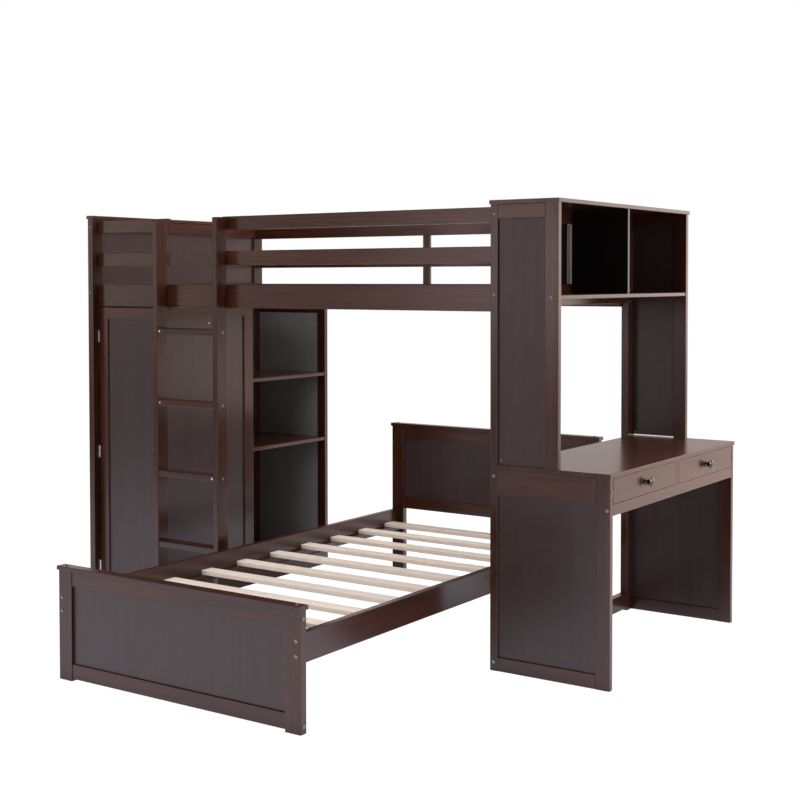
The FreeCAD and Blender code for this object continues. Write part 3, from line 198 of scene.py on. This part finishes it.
def paint(material, *names):
    """Give CAD nodes a material in all their slots."""
    for name in names:
        for slot in nodes[name].material_slots:
            slot.material = material


def stiles(name, axis, first, last):
    """The ranges of the upright boards at the two ends of a frame, from their widths."""
    low, high = (corner["XYZ".index(axis)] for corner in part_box(name))
    return ([(axis, low - PAST_FRAME, low + first)] * (first > 0)
            + [(axis, high - last, high + PAST_FRAME)] * (last > 0))


paint(stained_pine("stained_pine_left_end", "Y",
                   stiles("left_end_frame", "Y", END_STILE, END_STILE)), "left_end_frame")
brown_panel = sprayed_board("sprayed_brown_fibreboard", BROWN_FIGURE, 0.9)
paint(brown_panel, "left_end_panels")
pine_across = stained_pine("stained_pine_front_to_back", "Y")
paint(pine_across, "left_end_cap")

# Right end frame: as the left one, with more rails, open above and below the desk. Its stiles also
# carry the desk and the tower.

paint(stained_pine("stained_pine_right_end", "Y",
                   stiles("right_end_frame", "Y", END_STILE, END_STILE)), "right_end_frame")

# Long rails of the loft: side rails and guard rails, single pine boards bolted between the two
# end frames, and the strips along the side rails that carry the slats. The back guards are
# joined by one post in the middle.

pine_along = stained_pine("stained_pine_lengthwise", "X")
pine_upright = stained_pine("stained_pine_upright", "Z")
paint(pine_along, "front_side_rail", "back_side_rail", "front_guard_rails", "back_guard_rails",
      "deck_ledgers")
paint(pine_upright, "back_guard_post")

# Deck slats: ten planed pine slats, left bare, laid across the loft from ledger to ledger. The
# bare wood is pale with honey-coloured rings, and each slat comes from another board.

SLAT_WIDTH = 0.058
SLAT_THICK = 0.017
SLAT_EASE = 0.003
SLAT_COUNT = 10
SLAT_SEED = 11

PLANED_RINGS = ((0.22, "#FBE1CB"), (0.36, "#FFEADA"), (0.5, "#FFF0E4"), (0.62, "#FFF7F0"))
# Sizes in mm along and across the grain, and the detail, of the sweep of the rings and the streaks
PLANED_FIGURE = ((800, 60, 1.0), (350, 5, 3.0))
PLANED_RING_PHASE = 110.0
# How far apart along the grain, in metres, the slats of a row may have been cut
CUT_FROM = 7.0


def planed_pine(name, along):
    """Bare planed pine: pale, matt, with soft yellow rings. Each slat of a row has its own number
    in the attribute "board", which shifts the figure and tints it."""
    material, tree, shader, place = new_finish(name)
    board = add(tree, "ShaderNodeAttribute", attribute_name="board").outputs["Fac"]
    cut = add(tree, "ShaderNodeMath", {0: board, 1: CUT_FROM}, operation="MULTIPLY")
    shifted = add(tree, "ShaderNodeVectorMath", {
        0: grain_axes(tree, place, along), 1: add(tree, "ShaderNodeCombineXYZ", {0: cut})},
        operation="ADD")
    sweep, streaks = (
        add(tree, "ShaderNodeTexNoise", {
            "Vector": add(tree, "ShaderNodeVectorMath", {
                0: shifted, 1: (1000 / length, 1000 / width, 1000 / width)}, operation="MULTIPLY"),
            "Scale": 1.0, "Detail": detail})
        for length, width, detail in PLANED_FIGURE)
    phase = add(tree, "ShaderNodeMath", {0: sweep, 1: PLANED_RING_PHASE}, operation="MULTIPLY")
    rings = add(tree, "ShaderNodeMath", {0: phase}, operation="SINE")
    streaked = add(tree, "ShaderNodeMath", {0: streaks, 1: 0.7}, operation="MULTIPLY")
    tinted = add(tree, "ShaderNodeMath", {0: board, 1: 0.12, 2: streaked}, operation="MULTIPLY_ADD")
    tone = add(tree, "ShaderNodeMath", {0: rings, 1: 0.09, 2: tinted}, operation="MULTIPLY_ADD")
    colour = add(tree, "ShaderNodeValToRGB", {0: tone}, PLANED_RINGS)
    bump = add(tree, "ShaderNodeBump", {"Strength": 0.25, "Distance": 0.0002, "Height": streaks})
    feed(tree, shader, {"Base Color": colour, "Normal": bump, "Roughness": 0.6})
    return material


def geometry_tree(name, sizes):
    """An empty geometry tree with named inputs, and the outputs that give them."""
    tree = bpy.data.node_groups.new(name, "GeometryNodeTree")
    tree.interface.new_socket("Geometry", in_out="OUTPUT", socket_type="NodeSocketGeometry")
    for label, kind in sizes:
        tree.interface.new_socket(label, in_out="INPUT", socket_type="NodeSocket" + kind)
    return tree, add(tree, "NodeGroupInput").outputs


def grow(tree, name, sizes):
    """Run a geometry tree with its sizes set, and keep the result as a plain mesh object."""
    seed = bpy.data.objects.new(name + "_seed", bpy.data.meshes.new(name + "_seed"))
    bpy.context.scene.collection.objects.link(seed)
    modifier = seed.modifiers.new("geometry", "NODES")
    modifier.node_group = tree
    for item in tree.interface.items_tree:
        if item.in_out == "INPUT":
            modifier[item.identifier] = sizes[item.name]
    depsgraph = bpy.context.evaluated_depsgraph_get()
    shape = bpy.data.meshes.new_from_object(seed.evaluated_get(depsgraph))
    seed.modifiers.remove(modifier)
    bpy.data.objects.remove(seed)
    shape.name = name
    piece = bpy.data.objects.new(name, shape)
    bpy.context.scene.collection.objects.link(piece)
    return piece


slat_row, given = geometry_tree("slat_row", (
    ("Count", "Int"), ("First Slat", "Vector"), ("Pitch", "Vector"), ("Turn", "Float"),
    ("Length", "Float"), ("Width", "Float"), ("Thickness", "Float"), ("Eased Edge", "Float"),
    ("Wood", "Material")))
front_end = add(slat_row, "ShaderNodeMath", {0: given["Length"], 1: 0.5}, operation="MULTIPLY")
back_end = add(slat_row, "ShaderNodeMath", {0: given["Length"], 1: -0.5}, operation="MULTIPLY")
spine = add(slat_row, "GeometryNodeCurvePrimitiveLine", {
    "Start": add(slat_row, "ShaderNodeCombineXYZ", {0: back_end}),
    "End": add(slat_row, "ShaderNodeCombineXYZ", {0: front_end})})
section = add(slat_row, "GeometryNodeCurvePrimitiveQuadrilateral", {
    "Width": given["Width"], "Height": given["Thickness"]})
eased = add(slat_row, "GeometryNodeFilletCurve", {
    "Curve": section, "Count": 3, "Radius": given["Eased Edge"]}, mode="POLY")
slat = add(slat_row, "GeometryNodeCurveToMesh", {
    "Curve": spine, "Profile Curve": eased, "Fill Caps": True})
places = add(slat_row, "GeometryNodeMeshLine", {
    "Count": given["Count"], "Start Location": given["First Slat"], "Offset": given["Pitch"]})
laid = add(slat_row, "GeometryNodeInstanceOnPoints", {
    "Points": places, "Instance": slat,
    "Rotation": add(slat_row, "ShaderNodeCombineXYZ", {2: given["Turn"]})})
numbered = add(slat_row, "GeometryNodeStoreNamedAttribute", {
    "Geometry": laid, "Name": "board",
    "Value": add(slat_row, "FunctionNodeRandomValue", {"Min": 0.0, "Max": 1.0, "Seed": SLAT_SEED})},
    domain="INSTANCE")
whole = add(slat_row, "GeometryNodeRealizeInstances", {"Geometry": numbered})
finished = add(slat_row, "GeometryNodeSetMaterial", {"Geometry": whole, "Material": given["Wood"]})
add(slat_row, "NodeGroupOutput", {"Geometry": finished})


def lay_slats(name, node, axis, wood, body):
    """A row of slats along an axis of the frame, in the place of a CAD node's slats."""
    low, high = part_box(node)
    i, j = (0, 1) if axis == "X" else (1, 0)
    first = (low + high) / 2
    first[i] = low[i] + SLAT_WIDTH / 2
    pitch = Vector()
    pitch[i] = (high[i] - low[i] - SLAT_WIDTH) / (SLAT_COUNT - 1)
    piece = grow(slat_row, name, {
        "Count": SLAT_COUNT, "First Slat": first, "Pitch": pitch,
        "Turn": math.pi / 2 if axis == "X" else 0.0, "Length": high[j] - low[j],
        "Width": SLAT_WIDTH, "Thickness": SLAT_THICK, "Eased Edge": SLAT_EASE, "Wood": wood})
    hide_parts(node)
    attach(piece, body)


planed_along = planed_pine("planed_pine_lengthwise", "X")
planed_across = planed_pine("planed_pine_front_to_back", "Y")
lay_slats("loft_slats", "deck_slats", "X", planed_across, "loft")

# Bolts of the loft: button-head bolts of steel with a hexagon socket, zinc plated, driven
# through the end frames and the ladder. The plating is bluish and dull, with a slight cloud.

DULL_ZINC = "#939396"
ZINC_CLOUD = 4


def plated(name, colour, rough, cloud):
    """A plated metal whose polish changes over patches of about the given size in mm."""
    material, tree, shader, place = new_finish(name)
    patches = add(tree, "ShaderNodeTexNoise", {
        "Vector": place, "Scale": 1000 / cloud, "Detail": 2.0})
    polish = add(tree, "ShaderNodeMapRange", {
        "Value": patches, "From Min": 0.3, "From Max": 0.7, "To Min": rough * 0.75,
        "To Max": rough * 1.3})
    feed(tree, shader, {"Base Color": colour, "Metallic": 1.0, "Roughness": polish})
    return material


zinc = plated("zinc_plated_steel", DULL_ZINC, 0.36, ZINC_CLOUD)
paint(zinc, "loft_bolts")

# Ladder: two upright boards with rounded noses, bolted to the front rail, and four rungs held by
# bolts into steel cross dowels, whose zinc plate is brighter than the bolts'.

BRIGHT_ZINC = "#E4E4E6"

paint(pine_upright, "ladder_left_upright", "ladder_right_upright")
paint(pine_along, "ladder_rungs")
bright_zinc = plated("bright_zinc_plate", BRIGHT_ZINC, 0.3, ZINC_CLOUD)
paint(bright_zinc, "rung_barrel_nuts")

# Wardrobe and bookcase: one cabinet of framed panels under the loft's left end. The side towards
# the low bed has a wide middle stile where the closed wardrobe ends and the open shelves begin.
# The board at the back is the same fibreboard in its grey primer.

BOOKCASE_STILE = (0.403, 0.462)
FOOT_RAIL_TOP = 0.064
REAR_STILE = 0.045
PRIMER_FIGURE = ((0.3, "#8F8D8F"), (0.5, "#959395"), (0.7, "#9B999B"))

paint(stained_pine("stained_pine_cabinet_side", "Y", [("Y", *BOOKCASE_STILE)],
                   above=FOOT_RAIL_TOP), "cabinet_side_frame")
paint(stained_pine("stained_pine_cabinet_rear", "X",
                   stiles("cabinet_rear_frame", "X", 0, REAR_STILE)), "cabinet_rear_frame")
paint(brown_panel, "cabinet_side_panel")
primed_panel = sprayed_board("grey_primed_fibreboard", PRIMER_FIGURE, 0.4)
paint(primed_panel, "cabinet_rear_panel")
paint(pine_upright, "cabinet_partition")
paint(pine_along, "cabinet_floor")
paint(pine_across, "bookcase_shelves")

# Hanging rail: a steel tube across the wardrobe, chromed to a near mirror. A screw through the
# cabinet's side holds its right end, and its round head shows on the outside.

RAIL_SCREW_HEAD = 0.0042
RAIL_SCREW_HEIGHT = 0.0022
RAIL_SCREW_SOCKET = 0.0014
DOME_STEPS = 10
TURNED_SIDES = 64

paint(plated("chromed_tube", "#D2D2D4", 0.08, 20), "wardrobe_hanging_rail")


def turned(name, outline, base, towards, finish):
    """A piece turned about an axis, from the radius and the height of its outline's points."""
    place = Matrix.Translation(base) @ towards.to_track_quat("Z", "Y").to_matrix().to_4x4()
    shell = bmesh.new()
    line = [shell.verts.new((radius, 0.0, height)) for radius, height in outline]
    wires = [shell.edges.new(pair) for pair in zip(line, line[1:])]
    bmesh.ops.spin(shell, geom=line + wires, cent=(0, 0, 0), axis=(0, 0, 1), angle=math.tau,
                   steps=TURNED_SIDES)
    bmesh.ops.remove_doubles(shell, verts=shell.verts, dist=1e-6)
    bmesh.ops.holes_fill(shell, edges=shell.edges, sides=TURNED_SIDES)
    bmesh.ops.recalc_face_normals(shell, faces=shell.faces)
    bmesh.ops.transform(shell, matrix=place, verts=shell.verts)
    for face in shell.faces:
        face.smooth = len(face.verts) < 5
    mesh = bpy.data.meshes.new(name)
    shell.to_mesh(mesh)
    shell.free()
    mesh.materials.append(finish)
    piece = bpy.data.objects.new(name, mesh)
    bpy.context.scene.collection.objects.link(piece)
    return piece


socket_floor = RAIL_SCREW_HEIGHT / 4
dome_width = RAIL_SCREW_HEAD - RAIL_SCREW_SOCKET
screw_outline = [(0.0, socket_floor), (RAIL_SCREW_SOCKET, socket_floor)]
for k in range(DOME_STEPS + 1):
    turn = math.pi / 2 * k / DOME_STEPS
    screw_outline.append((RAIL_SCREW_SOCKET + dome_width * math.sin(turn),
                          RAIL_SCREW_HEIGHT * math.cos(turn)))
rail_middle = sum(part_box("wardrobe_hanging_rail"), Vector()) / 2
panel_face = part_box("cabinet_side_panel")[1].x
rail_screw = turned("hanging_rail_screw", screw_outline,
                    Vector((panel_face, rail_middle.y, rail_middle.z)), Vector((1, 0, 0)),
                    bright_zinc)
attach(rail_screw, "loft")

# Wardrobe door: a pine frame around a sprayed panel, on three steel butt hinges at its left, with
# a turned metal knob on its right stile.

DOOR_STILE = 0.050

paint(stained_pine("stained_pine_door", "X", stiles("door_frame", "X", DOOR_STILE, DOOR_STILE)),
      "door_frame")
paint(brown_panel, "door_panel")
paint(bright_zinc, "hinge_frame_leaves", "hinge_door_leaves", "hinge_pins")

KNOB_LENGTH = 0.027
KNOB_FOOT = 0.0125
KNOB_HEAD = 0.018
KNOB_RIM = 0.019
KNOB_NECK_CURVE = 0.011
# The shares of the neck's and of the face's curve that the rounding of the rim leaves
NECK_SHARE = 0.93
FACE_SHARE = 0.92
NECK_STEPS = 14
RIM_STEPS = 6
FACE_STEPS = 12

# Polished nickel, coloured dark as a painted reflection of a dark room: a dark mirror, whose small
# dome shows the whole room with bright lamps
nickel = plated("polished_nickel_painted_dark", "#504D4B", 0.05, 6)


def turned_knob(name, node, outward, body):
    """A knob turned in one piece: a hollow neck up to a thin rim, and a low domed face."""
    chord = Vector((KNOB_HEAD - KNOB_FOOT, KNOB_RIM))
    sideways = Vector((chord.y, -chord.x)).normalized()
    reach = math.sqrt(KNOB_NECK_CURVE ** 2 - chord.length_squared / 4)
    hollow = Vector((KNOB_FOOT, 0.0)) + chord / 2 + sideways * reach
    foot_angle = math.atan2(-hollow.y, KNOB_FOOT - hollow.x) % math.tau
    rim_angle = math.atan2(KNOB_RIM - hollow.y, KNOB_HEAD - hollow.x)
    rise = KNOB_LENGTH - KNOB_RIM
    ball = (KNOB_HEAD ** 2 + rise ** 2) / (2 * rise)
    edge = math.asin(KNOB_HEAD / ball)
    neck_angles = [foot_angle + (rim_angle - foot_angle) * NECK_SHARE * k / NECK_STEPS
                   for k in range(NECK_STEPS + 1)]
    face_angles = [edge * FACE_SHARE * (1 - k / FACE_STEPS) for k in range(FACE_STEPS + 1)]
    profile = [hollow + KNOB_NECK_CURVE * Vector((math.cos(a), math.sin(a))) for a in neck_angles]
    crown = [Vector((ball * math.sin(a), KNOB_LENGTH - ball + ball * math.cos(a)))
             for a in face_angles]
    # The rim is rounded by a curve from the neck to the face, pulled towards the sharp corner
    corner = Vector((KNOB_HEAD, KNOB_RIM))
    for k in range(1, RIM_STEPS):
        share = k / RIM_STEPS
        profile.append(profile[NECK_STEPS] * (1 - share) ** 2 + corner * 2 * share * (1 - share)
                       + crown[0] * share ** 2)
    profile += crown
    low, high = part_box(node)
    ahead, axis = outward[0] == "+", "XYZ".index(outward[1])
    base = (low + high) / 2
    base[axis] = low[axis] if ahead else high[axis]
    towards = Vector()
    towards[axis] = 1 if ahead else -1
    piece = turned(name, profile, base, towards, nickel)
    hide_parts(node)
    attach(piece, body)


turned_knob("turned_door_knob", "door_knob", "-Y", "wardrobe_door")

# Hinge screws: two countersunk screws in each leaf, flush with its face, with a cross recess.
# They show only while the door is open.

SCREW_HEAD = 0.003
SCREW_SIDES = 24
SCREW_PROUD = 0.0001
SCREW_DEPTH = 0.0006
RECESS_LENGTH = 0.0034
RECESS_WIDTH = 0.0008
HINGE_COUNT = 3
HINGE_HEIGHT = 0.048
SCREW_INSET = 0.0085
SCREW_FROM_EDGE = 0.006
LEAF_THICK = 0.001
LEAF_GAP = 0.0003

screw_rows, given = geometry_tree("hinge_screws", (
    ("Hinges", "Int"), ("First Screw", "Vector"), ("Between Screws", "Float"),
    ("Between Hinges", "Float"), ("Facing", "Float"), ("Head Radius", "Float"),
    ("Head Depth", "Float"), ("Recess Length", "Float"), ("Recess Width", "Float"),
    ("Metal", "Material")))
head = add(screw_rows, "GeometryNodeMeshCylinder", {
    "Vertices": SCREW_SIDES, "Radius": given["Head Radius"], "Depth": given["Head Depth"]})
head_top = add(screw_rows, "ShaderNodeMath", {0: given["Head Depth"], 1: 0.5},
               operation="MULTIPLY")
for along, across in (("Recess Length", "Recess Width"), ("Recess Width", "Recess Length")):
    slit = add(screw_rows, "GeometryNodeMeshCube", {
        "Size": add(screw_rows, "ShaderNodeCombineXYZ", {
            0: given[along], 1: given[across], 2: given["Head Depth"]})})
    lifted = add(screw_rows, "GeometryNodeTransform", {
        "Geometry": slit, "Translation": add(screw_rows, "ShaderNodeCombineXYZ", {2: head_top})})
    head = add(screw_rows, "GeometryNodeMeshBoolean", {"Mesh 1": head, "Mesh 2": lifted},
               operation="DIFFERENCE")
pair = add(screw_rows, "GeometryNodeInstanceOnPoints", {
    "Points": add(screw_rows, "GeometryNodeMeshLine", {
        "Count": 2,
        "Offset": add(screw_rows, "ShaderNodeCombineXYZ", {2: given["Between Screws"]})}),
    "Instance": head,
    "Rotation": add(screw_rows, "ShaderNodeCombineXYZ", {1: given["Facing"]})})
spread = add(screw_rows, "GeometryNodeInstanceOnPoints", {
    "Points": add(screw_rows, "GeometryNodeMeshLine", {
        "Count": given["Hinges"], "Start Location": given["First Screw"],
        "Offset": add(screw_rows, "ShaderNodeCombineXYZ", {2: given["Between Hinges"]})}),
    "Instance": pair})
whole = add(screw_rows, "GeometryNodeRealizeInstances", {"Geometry": spread})
finished = add(screw_rows, "GeometryNodeSetMaterial", {
    "Geometry": whole, "Material": given["Metal"]})
add(screw_rows, "NodeGroupOutput", {"Geometry": finished})

leaf_low, leaf_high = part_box("hinge_frame_leaves")
frame_side = leaf_low.x + LEAF_THICK
for name, side, facing, body in (
        ("frame_leaf_screws", frame_side, 1, "loft"),
        ("door_leaf_screws", frame_side + LEAF_GAP, -1, "wardrobe_door")):
    screws = grow(screw_rows, name, {
        "Hinges": HINGE_COUNT,
        "First Screw": (side + facing * (SCREW_PROUD - SCREW_DEPTH / 2),
                        leaf_high.y - SCREW_FROM_EDGE, leaf_low.z + SCREW_INSET),
        "Between Screws": HINGE_HEIGHT - 2 * SCREW_INSET,
        "Between Hinges": (leaf_high.z - leaf_low.z - HINGE_HEIGHT) / (HINGE_COUNT - 1),
        "Facing": facing * math.pi / 2, "Head Radius": SCREW_HEAD, "Head Depth": SCREW_DEPTH,
        "Recess Length": RECESS_LENGTH, "Recess Width": RECESS_WIDTH, "Metal": zinc})
    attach(screws, body)

# Desk: two side frames with panels, a divider between the drawers, an apron below them and the
# runners they slide on, under a top that lies across the side frames and is screwed from below.

DESK_STILE = 0.050

for name in ("desk_front_frame", "desk_rear_frame"):
    paint(stained_pine("stained_pine_" + name, "X", stiles(name, "X", 0, DESK_STILE)), name)
paint(brown_panel, "desk_side_panels")
paint(pine_along, "desk_divider", "drawer_runners")
paint(pine_across, "desk_apron", "desk_top")

# Drawers: bare pine boxes behind stained faces, each with a turned knob in the middle. They slide
# out to the right on the desk's wooden runners.

paint(pine_across, "front_drawer_face", "rear_drawer_face")
paint(planed_along, "front_drawer_box", "rear_drawer_box")
turned_knob("turned_front_drawer_knob", "front_drawer_knob", "+X", "front_drawer")
turned_knob("turned_rear_drawer_knob", "rear_drawer_knob", "+X", "rear_drawer")

# Shelf tower over the desk: two side frames with panels, a shelf and a top board. Its divider and
# its back, in two pieces joined by a grey plastic strip, are thin sprayed board, coloured nearly
# black as painted shade for the tower's deep bays.

TOWER_STILE = 0.050
# Near black: painted shade for the tower's deep bays, over a faint upright figure
BAY_SHADE_FIGURE = ((0.3, "#0C0707"), (0.5, "#100A0A"), (0.7, "#150D0D"))
STRIP_FIGURE = ((0.3, "#A5A1A0"), (0.5, "#ADA9A7"), (0.7, "#B4B0AE"))

for name in ("tower_front_frame", "tower_rear_frame"):
    paint(stained_pine("stained_pine_" + name, "X", stiles(name, "X", 0, TOWER_STILE)), name)
paint(brown_panel, "tower_side_panels")
paint(pine_across, "tower_top", "tower_shelf")
paint(sprayed_board("bay_painted_shade_board", BAY_SHADE_FIGURE, 0.9), "tower_back_panels",
      "tower_divider")
paint(sprayed_board("grey_plastic_strip", STRIP_FIGURE, 0.2), "tower_back_strip")

# Low bed: a footboard and a headboard of framed panels with caps, joined by two side rails that
# are bolted to their posts. It stands free below the loft.

BED_POST = 0.060

for name in ("bed_footboard_frame", "bed_headboard_frame"):
    paint(stained_pine("stained_pine_" + name, "X", stiles(name, "X", BED_POST, BED_POST)), name)
paint(brown_panel, "bed_footboard_panel", "bed_headboard_panel")
paint(pine_along, "bed_caps")
paint(pine_across, "bed_side_rails", "bed_ledgers")
lay_slats("low_bed_slats", "bed_slats", "Y", planed_along, "low_bed")
paint(zinc, "bed_bolts")

# Studio floor: white to the camera, and so bright that the object's shadow is lost on it, as in
# the photograph. In what mirrors it, it glows with painted light that dims towards the front and
# warms towards the back, as the room does, and a painted shadow darkens it below the object.

FLOOR_SIZE = 40
FLOOR_GREY = "#BEBEBE"
# How much of the floor glows rather than being lit, to the camera and in mirrors
GLOW_SEEN = 0.7
GLOW_MIRRORED = 0.6
# Strong enough for the glow's share alone to be white to the camera
FLOOR_GLOW = 1.42
INTO_DEPTH = (0.45, 0.89, 0)
# Depths in metres where the painted glow of the mirrored floor brightens, then warms; its two tints
DIM_DEPTHS, DIM_LEVELS = (-5.0, -2.4), (0.3, 1.7)
WARM_DEPTHS = (2.0, 4.0)
COOL_PAINTED_GLOW = (0.97, 0.99, 1.12, 1.0)
WARM_PAINTED_GLOW = (1.3, 1.03, 0.9, 1.0)
# The painted shadow of the object in the mirrored floor, from inside its outlines to outside them
PAINTED_SHADOW_EDGE, PAINTED_SHADOW_LEVELS = (-0.25, 0.1), (0.15, 1.0)
FAR_AWAY = 10.0

scene = bpy.context.scene
scene.view_settings.view_transform = "Standard"
bpy.ops.mesh.primitive_plane_add(size=FLOOR_SIZE)
floor = bpy.context.active_object
floor.name = "studio_floor"
material = bpy.data.materials.new("white_studio_floor")
material.use_nodes = True
tree = material.node_tree
tree.nodes.clear()
path = add(tree, "ShaderNodeLightPath").outputs
mirrored = add(tree, "ShaderNodeMath", {
    0: path["Is Glossy Ray"], 1: path["Is Transmission Ray"]}, operation="MAXIMUM")
in_mirror = add(tree, "ShaderNodeMath", {0: mirrored, 1: GLOW_MIRRORED}, operation="MULTIPLY")
share = add(tree, "ShaderNodeMath", {0: path["Is Camera Ray"], 1: GLOW_SEEN, 2: in_mirror},
            operation="MULTIPLY_ADD")
matt = add(tree, "ShaderNodeBsdfDiffuse", {"Color": FLOOR_GREY})
spot = add(tree, "ShaderNodeTexCoord").outputs["Object"]
depth = add(tree, "ShaderNodeVectorMath", {0: spot, 1: INTO_DEPTH},
            operation="DOT_PRODUCT").outputs["Value"]
beyond = FAR_AWAY
for first, last in (("left_end_frame", "desk_top"), ("bed_footboard_frame", "bed_headboard_frame")):
    low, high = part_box(first)[0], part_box(last)[1]
    offset = add(tree, "ShaderNodeVectorMath", {0: spot, 1: (low + high) / 2},
                 operation="SUBTRACT")
    aside = add(tree, "ShaderNodeVectorMath", {0: offset}, operation="ABSOLUTE")
    outline = add(tree, "ShaderNodeVectorMath", {0: aside, 1: (high - low) / 2},
                  operation="SUBTRACT")
    beside = add(tree, "ShaderNodeSeparateXYZ", {0: outline}).outputs
    outside = add(tree, "ShaderNodeMath", {0: beside["X"], 1: beside["Y"]}, operation="MAXIMUM")
    beyond = add(tree, "ShaderNodeMath", {0: outside, 1: beyond}, operation="MINIMUM")
# In mirrors: painted light, dimmer in front and warmer behind, and painted shadow under the object
painted_shadow_mask, dimmed, raised = (
    add(tree, "ShaderNodeMapRange", {
        "Value": value, "From Min": limits[0], "From Max": limits[1],
        "To Min": levels[0], "To Max": levels[1]})
    for value, limits, levels in (
        (beyond, PAINTED_SHADOW_EDGE, PAINTED_SHADOW_LEVELS), (depth, DIM_DEPTHS, DIM_LEVELS),
        (depth, WARM_DEPTHS, (0.0, 1.0))))
cast = add(tree, "ShaderNodeMix", {"Factor": raised, "A": COOL_PAINTED_GLOW, "B": WARM_PAINTED_GLOW},
           data_type="RGBA")
shaded = add(tree, "ShaderNodeMath", {0: dimmed, 1: painted_shadow_mask}, operation="MULTIPLY")
level = add(tree, "ShaderNodeVectorMath", {0: cast, "Scale": shaded}, operation="SCALE")
brightness = add(tree, "ShaderNodeMix", {
    "Factor": path["Is Camera Ray"], "A": level, "B": [FLOOR_GLOW] * 3 + [1.0]},
    data_type="RGBA")
glow = add(tree, "ShaderNodeEmission", {"Color": brightness, "Strength": 1.0})
both = add(tree, "ShaderNodeMixShader", {0: share, 1: matt, 2: glow})
add(tree, "ShaderNodeOutputMaterial", {0: both})
floor.data.materials.append(material)

# Room: white to the camera, dim to what it lights, and dark in mirrors but for bright parts of
# its walls: two wide ones behind the object, and two narrow ones at its front left.

# Each part's bearing from the X axis, the angle to its edge and to where its glow ends, in
# degrees, its strength and its colour
WALLS = ((75, 14, 26, 2.7, "#FFEDE4"), (125, 26, 41, 0.55, "#FFEDE8"),
         (220.5, 7.5, 11, 1.35, "#FFF6F0"), (241.5, 3, 6.5, 3.6, "#FFF2F2"))
ROOM_IN_MIRROR = 0.12
ROOM_LIGHT = 0.2

world = bpy.data.worlds.new("studio")
scene.world = world
world.use_nodes = True
tree = world.node_tree
tree.nodes.clear()
path = add(tree, "ShaderNodeLightPath").outputs
mirrored = add(tree, "ShaderNodeMath", {
    0: path["Is Glossy Ray"], 1: path["Is Transmission Ray"]}, operation="MAXIMUM")
outlook = add(tree, "ShaderNodeTexCoord").outputs["Generated"]
room = [ROOM_IN_MIRROR] * 3
for bearing, inner, outer, strength, tint in WALLS:
    towards = (math.cos(math.radians(bearing)), math.sin(math.radians(bearing)), 0.0)
    facing = add(tree, "ShaderNodeVectorMath", {0: outlook, 1: towards},
                 operation="DOT_PRODUCT").outputs["Value"]
    wall = add(tree, "ShaderNodeMapRange", {
        "Value": facing, "From Min": math.cos(math.radians(outer)),
        "From Max": math.cos(math.radians(inner)), "To Min": 0.0, "To Max": strength},
        interpolation_type="SMOOTHSTEP")
    room = add(tree, "ShaderNodeVectorMath", {0: wall, 1: linear(tint)[:3], 2: room},
               operation="MULTIPLY_ADD")
lit = add(tree, "ShaderNodeMix", {
    "Factor": mirrored, "A": [ROOM_LIGHT] * 3 + [1.0], "B": room}, data_type="RGBA")
seen = add(tree, "ShaderNodeMix", {
    "Factor": path["Is Camera Ray"], "A": lit, "B": "#FFFFFF"}, data_type="RGBA")
backdrop = add(tree, "ShaderNodeBackground", {"Color": seen, "Strength": 1.0})
add(tree, "ShaderNodeOutputWorld", {0: backdrop})

# Lamps: soft white light from large boxes over the object, at its right and in front of it. The
# front one isn't mirrored, because the photograph shows no lamp in the lacquer there.


def softbox(name, place, target, width, height, radiance, in_mirrors=True):
    """A large soft lamp that the camera doesn't see, nor the object's gloss if not in mirrors."""
    lamp = bpy.data.lights.new(name, "AREA")
    lamp.shape = "RECTANGLE"
    lamp.size, lamp.size_y = width, height
    lamp.energy = radiance * math.pi * width * height
    made = bpy.data.objects.new(name, lamp)
    made.location = place
    aim = Vector(target) - Vector(place)
    made.rotation_euler = aim.to_track_quat("-Z", "Y").to_euler()
    made.visible_camera = False
    made.visible_glossy = in_mirrors
    scene.collection.objects.link(made)


softbox("overhead_softbox", (0.9, 1.3, 4.3), (0.1, 0.1, 0.6), 4.0, 3.2, 3.9)
softbox("right_softbox", (4.8, 0.9, 2.2), (0.6, 0.0, 0.8), 2.6, 2.6, 5.6)
softbox("front_softbox", (-0.4, -4.2, 2.2), (0.2, 0.0, 0.9), 3.0, 1.6, 5.4, in_mirrors=False)

# Camera: 1.33 m above the floor and about 4 m from the foot of the low bed. It looks almost
# level, and its lens is shifted down so that the whole object is in view.

HEADING = math.radians(34.4933)
PITCH = math.radians(-1.7616)
ROLL = math.radians(-0.0576)
# The focal length and the width of the photograph, in its pixels
FOCAL_PIXELS = 1369.785
PHOTO_WIDTH = 800
SENSOR_WIDTH = 36.0

camera_data = bpy.data.cameras.new("photo_camera")
camera = bpy.data.objects.new("photo_camera", camera_data)
scene.collection.objects.link(camera)
scene.camera = camera
camera.location = (3.0925, -4.1181, 1.3333)
camera.rotation_mode = "XYZ"
camera.rotation_euler = (Matrix.Rotation(HEADING, 3, "Z")
                         @ Matrix.Rotation(math.pi / 2 + PITCH, 3, "X")
                         @ Matrix.Rotation(ROLL, 3, "Z")).to_euler()
camera_data.sensor_width = SENSOR_WIDTH
camera_data.lens = FOCAL_PIXELS / PHOTO_WIDTH * SENSOR_WIDTH
camera_data.shift_x = 0.01105
camera_data.shift_y = -0.09766
camera_data.clip_start = 0.1
camera_data.clip_end = 100.0
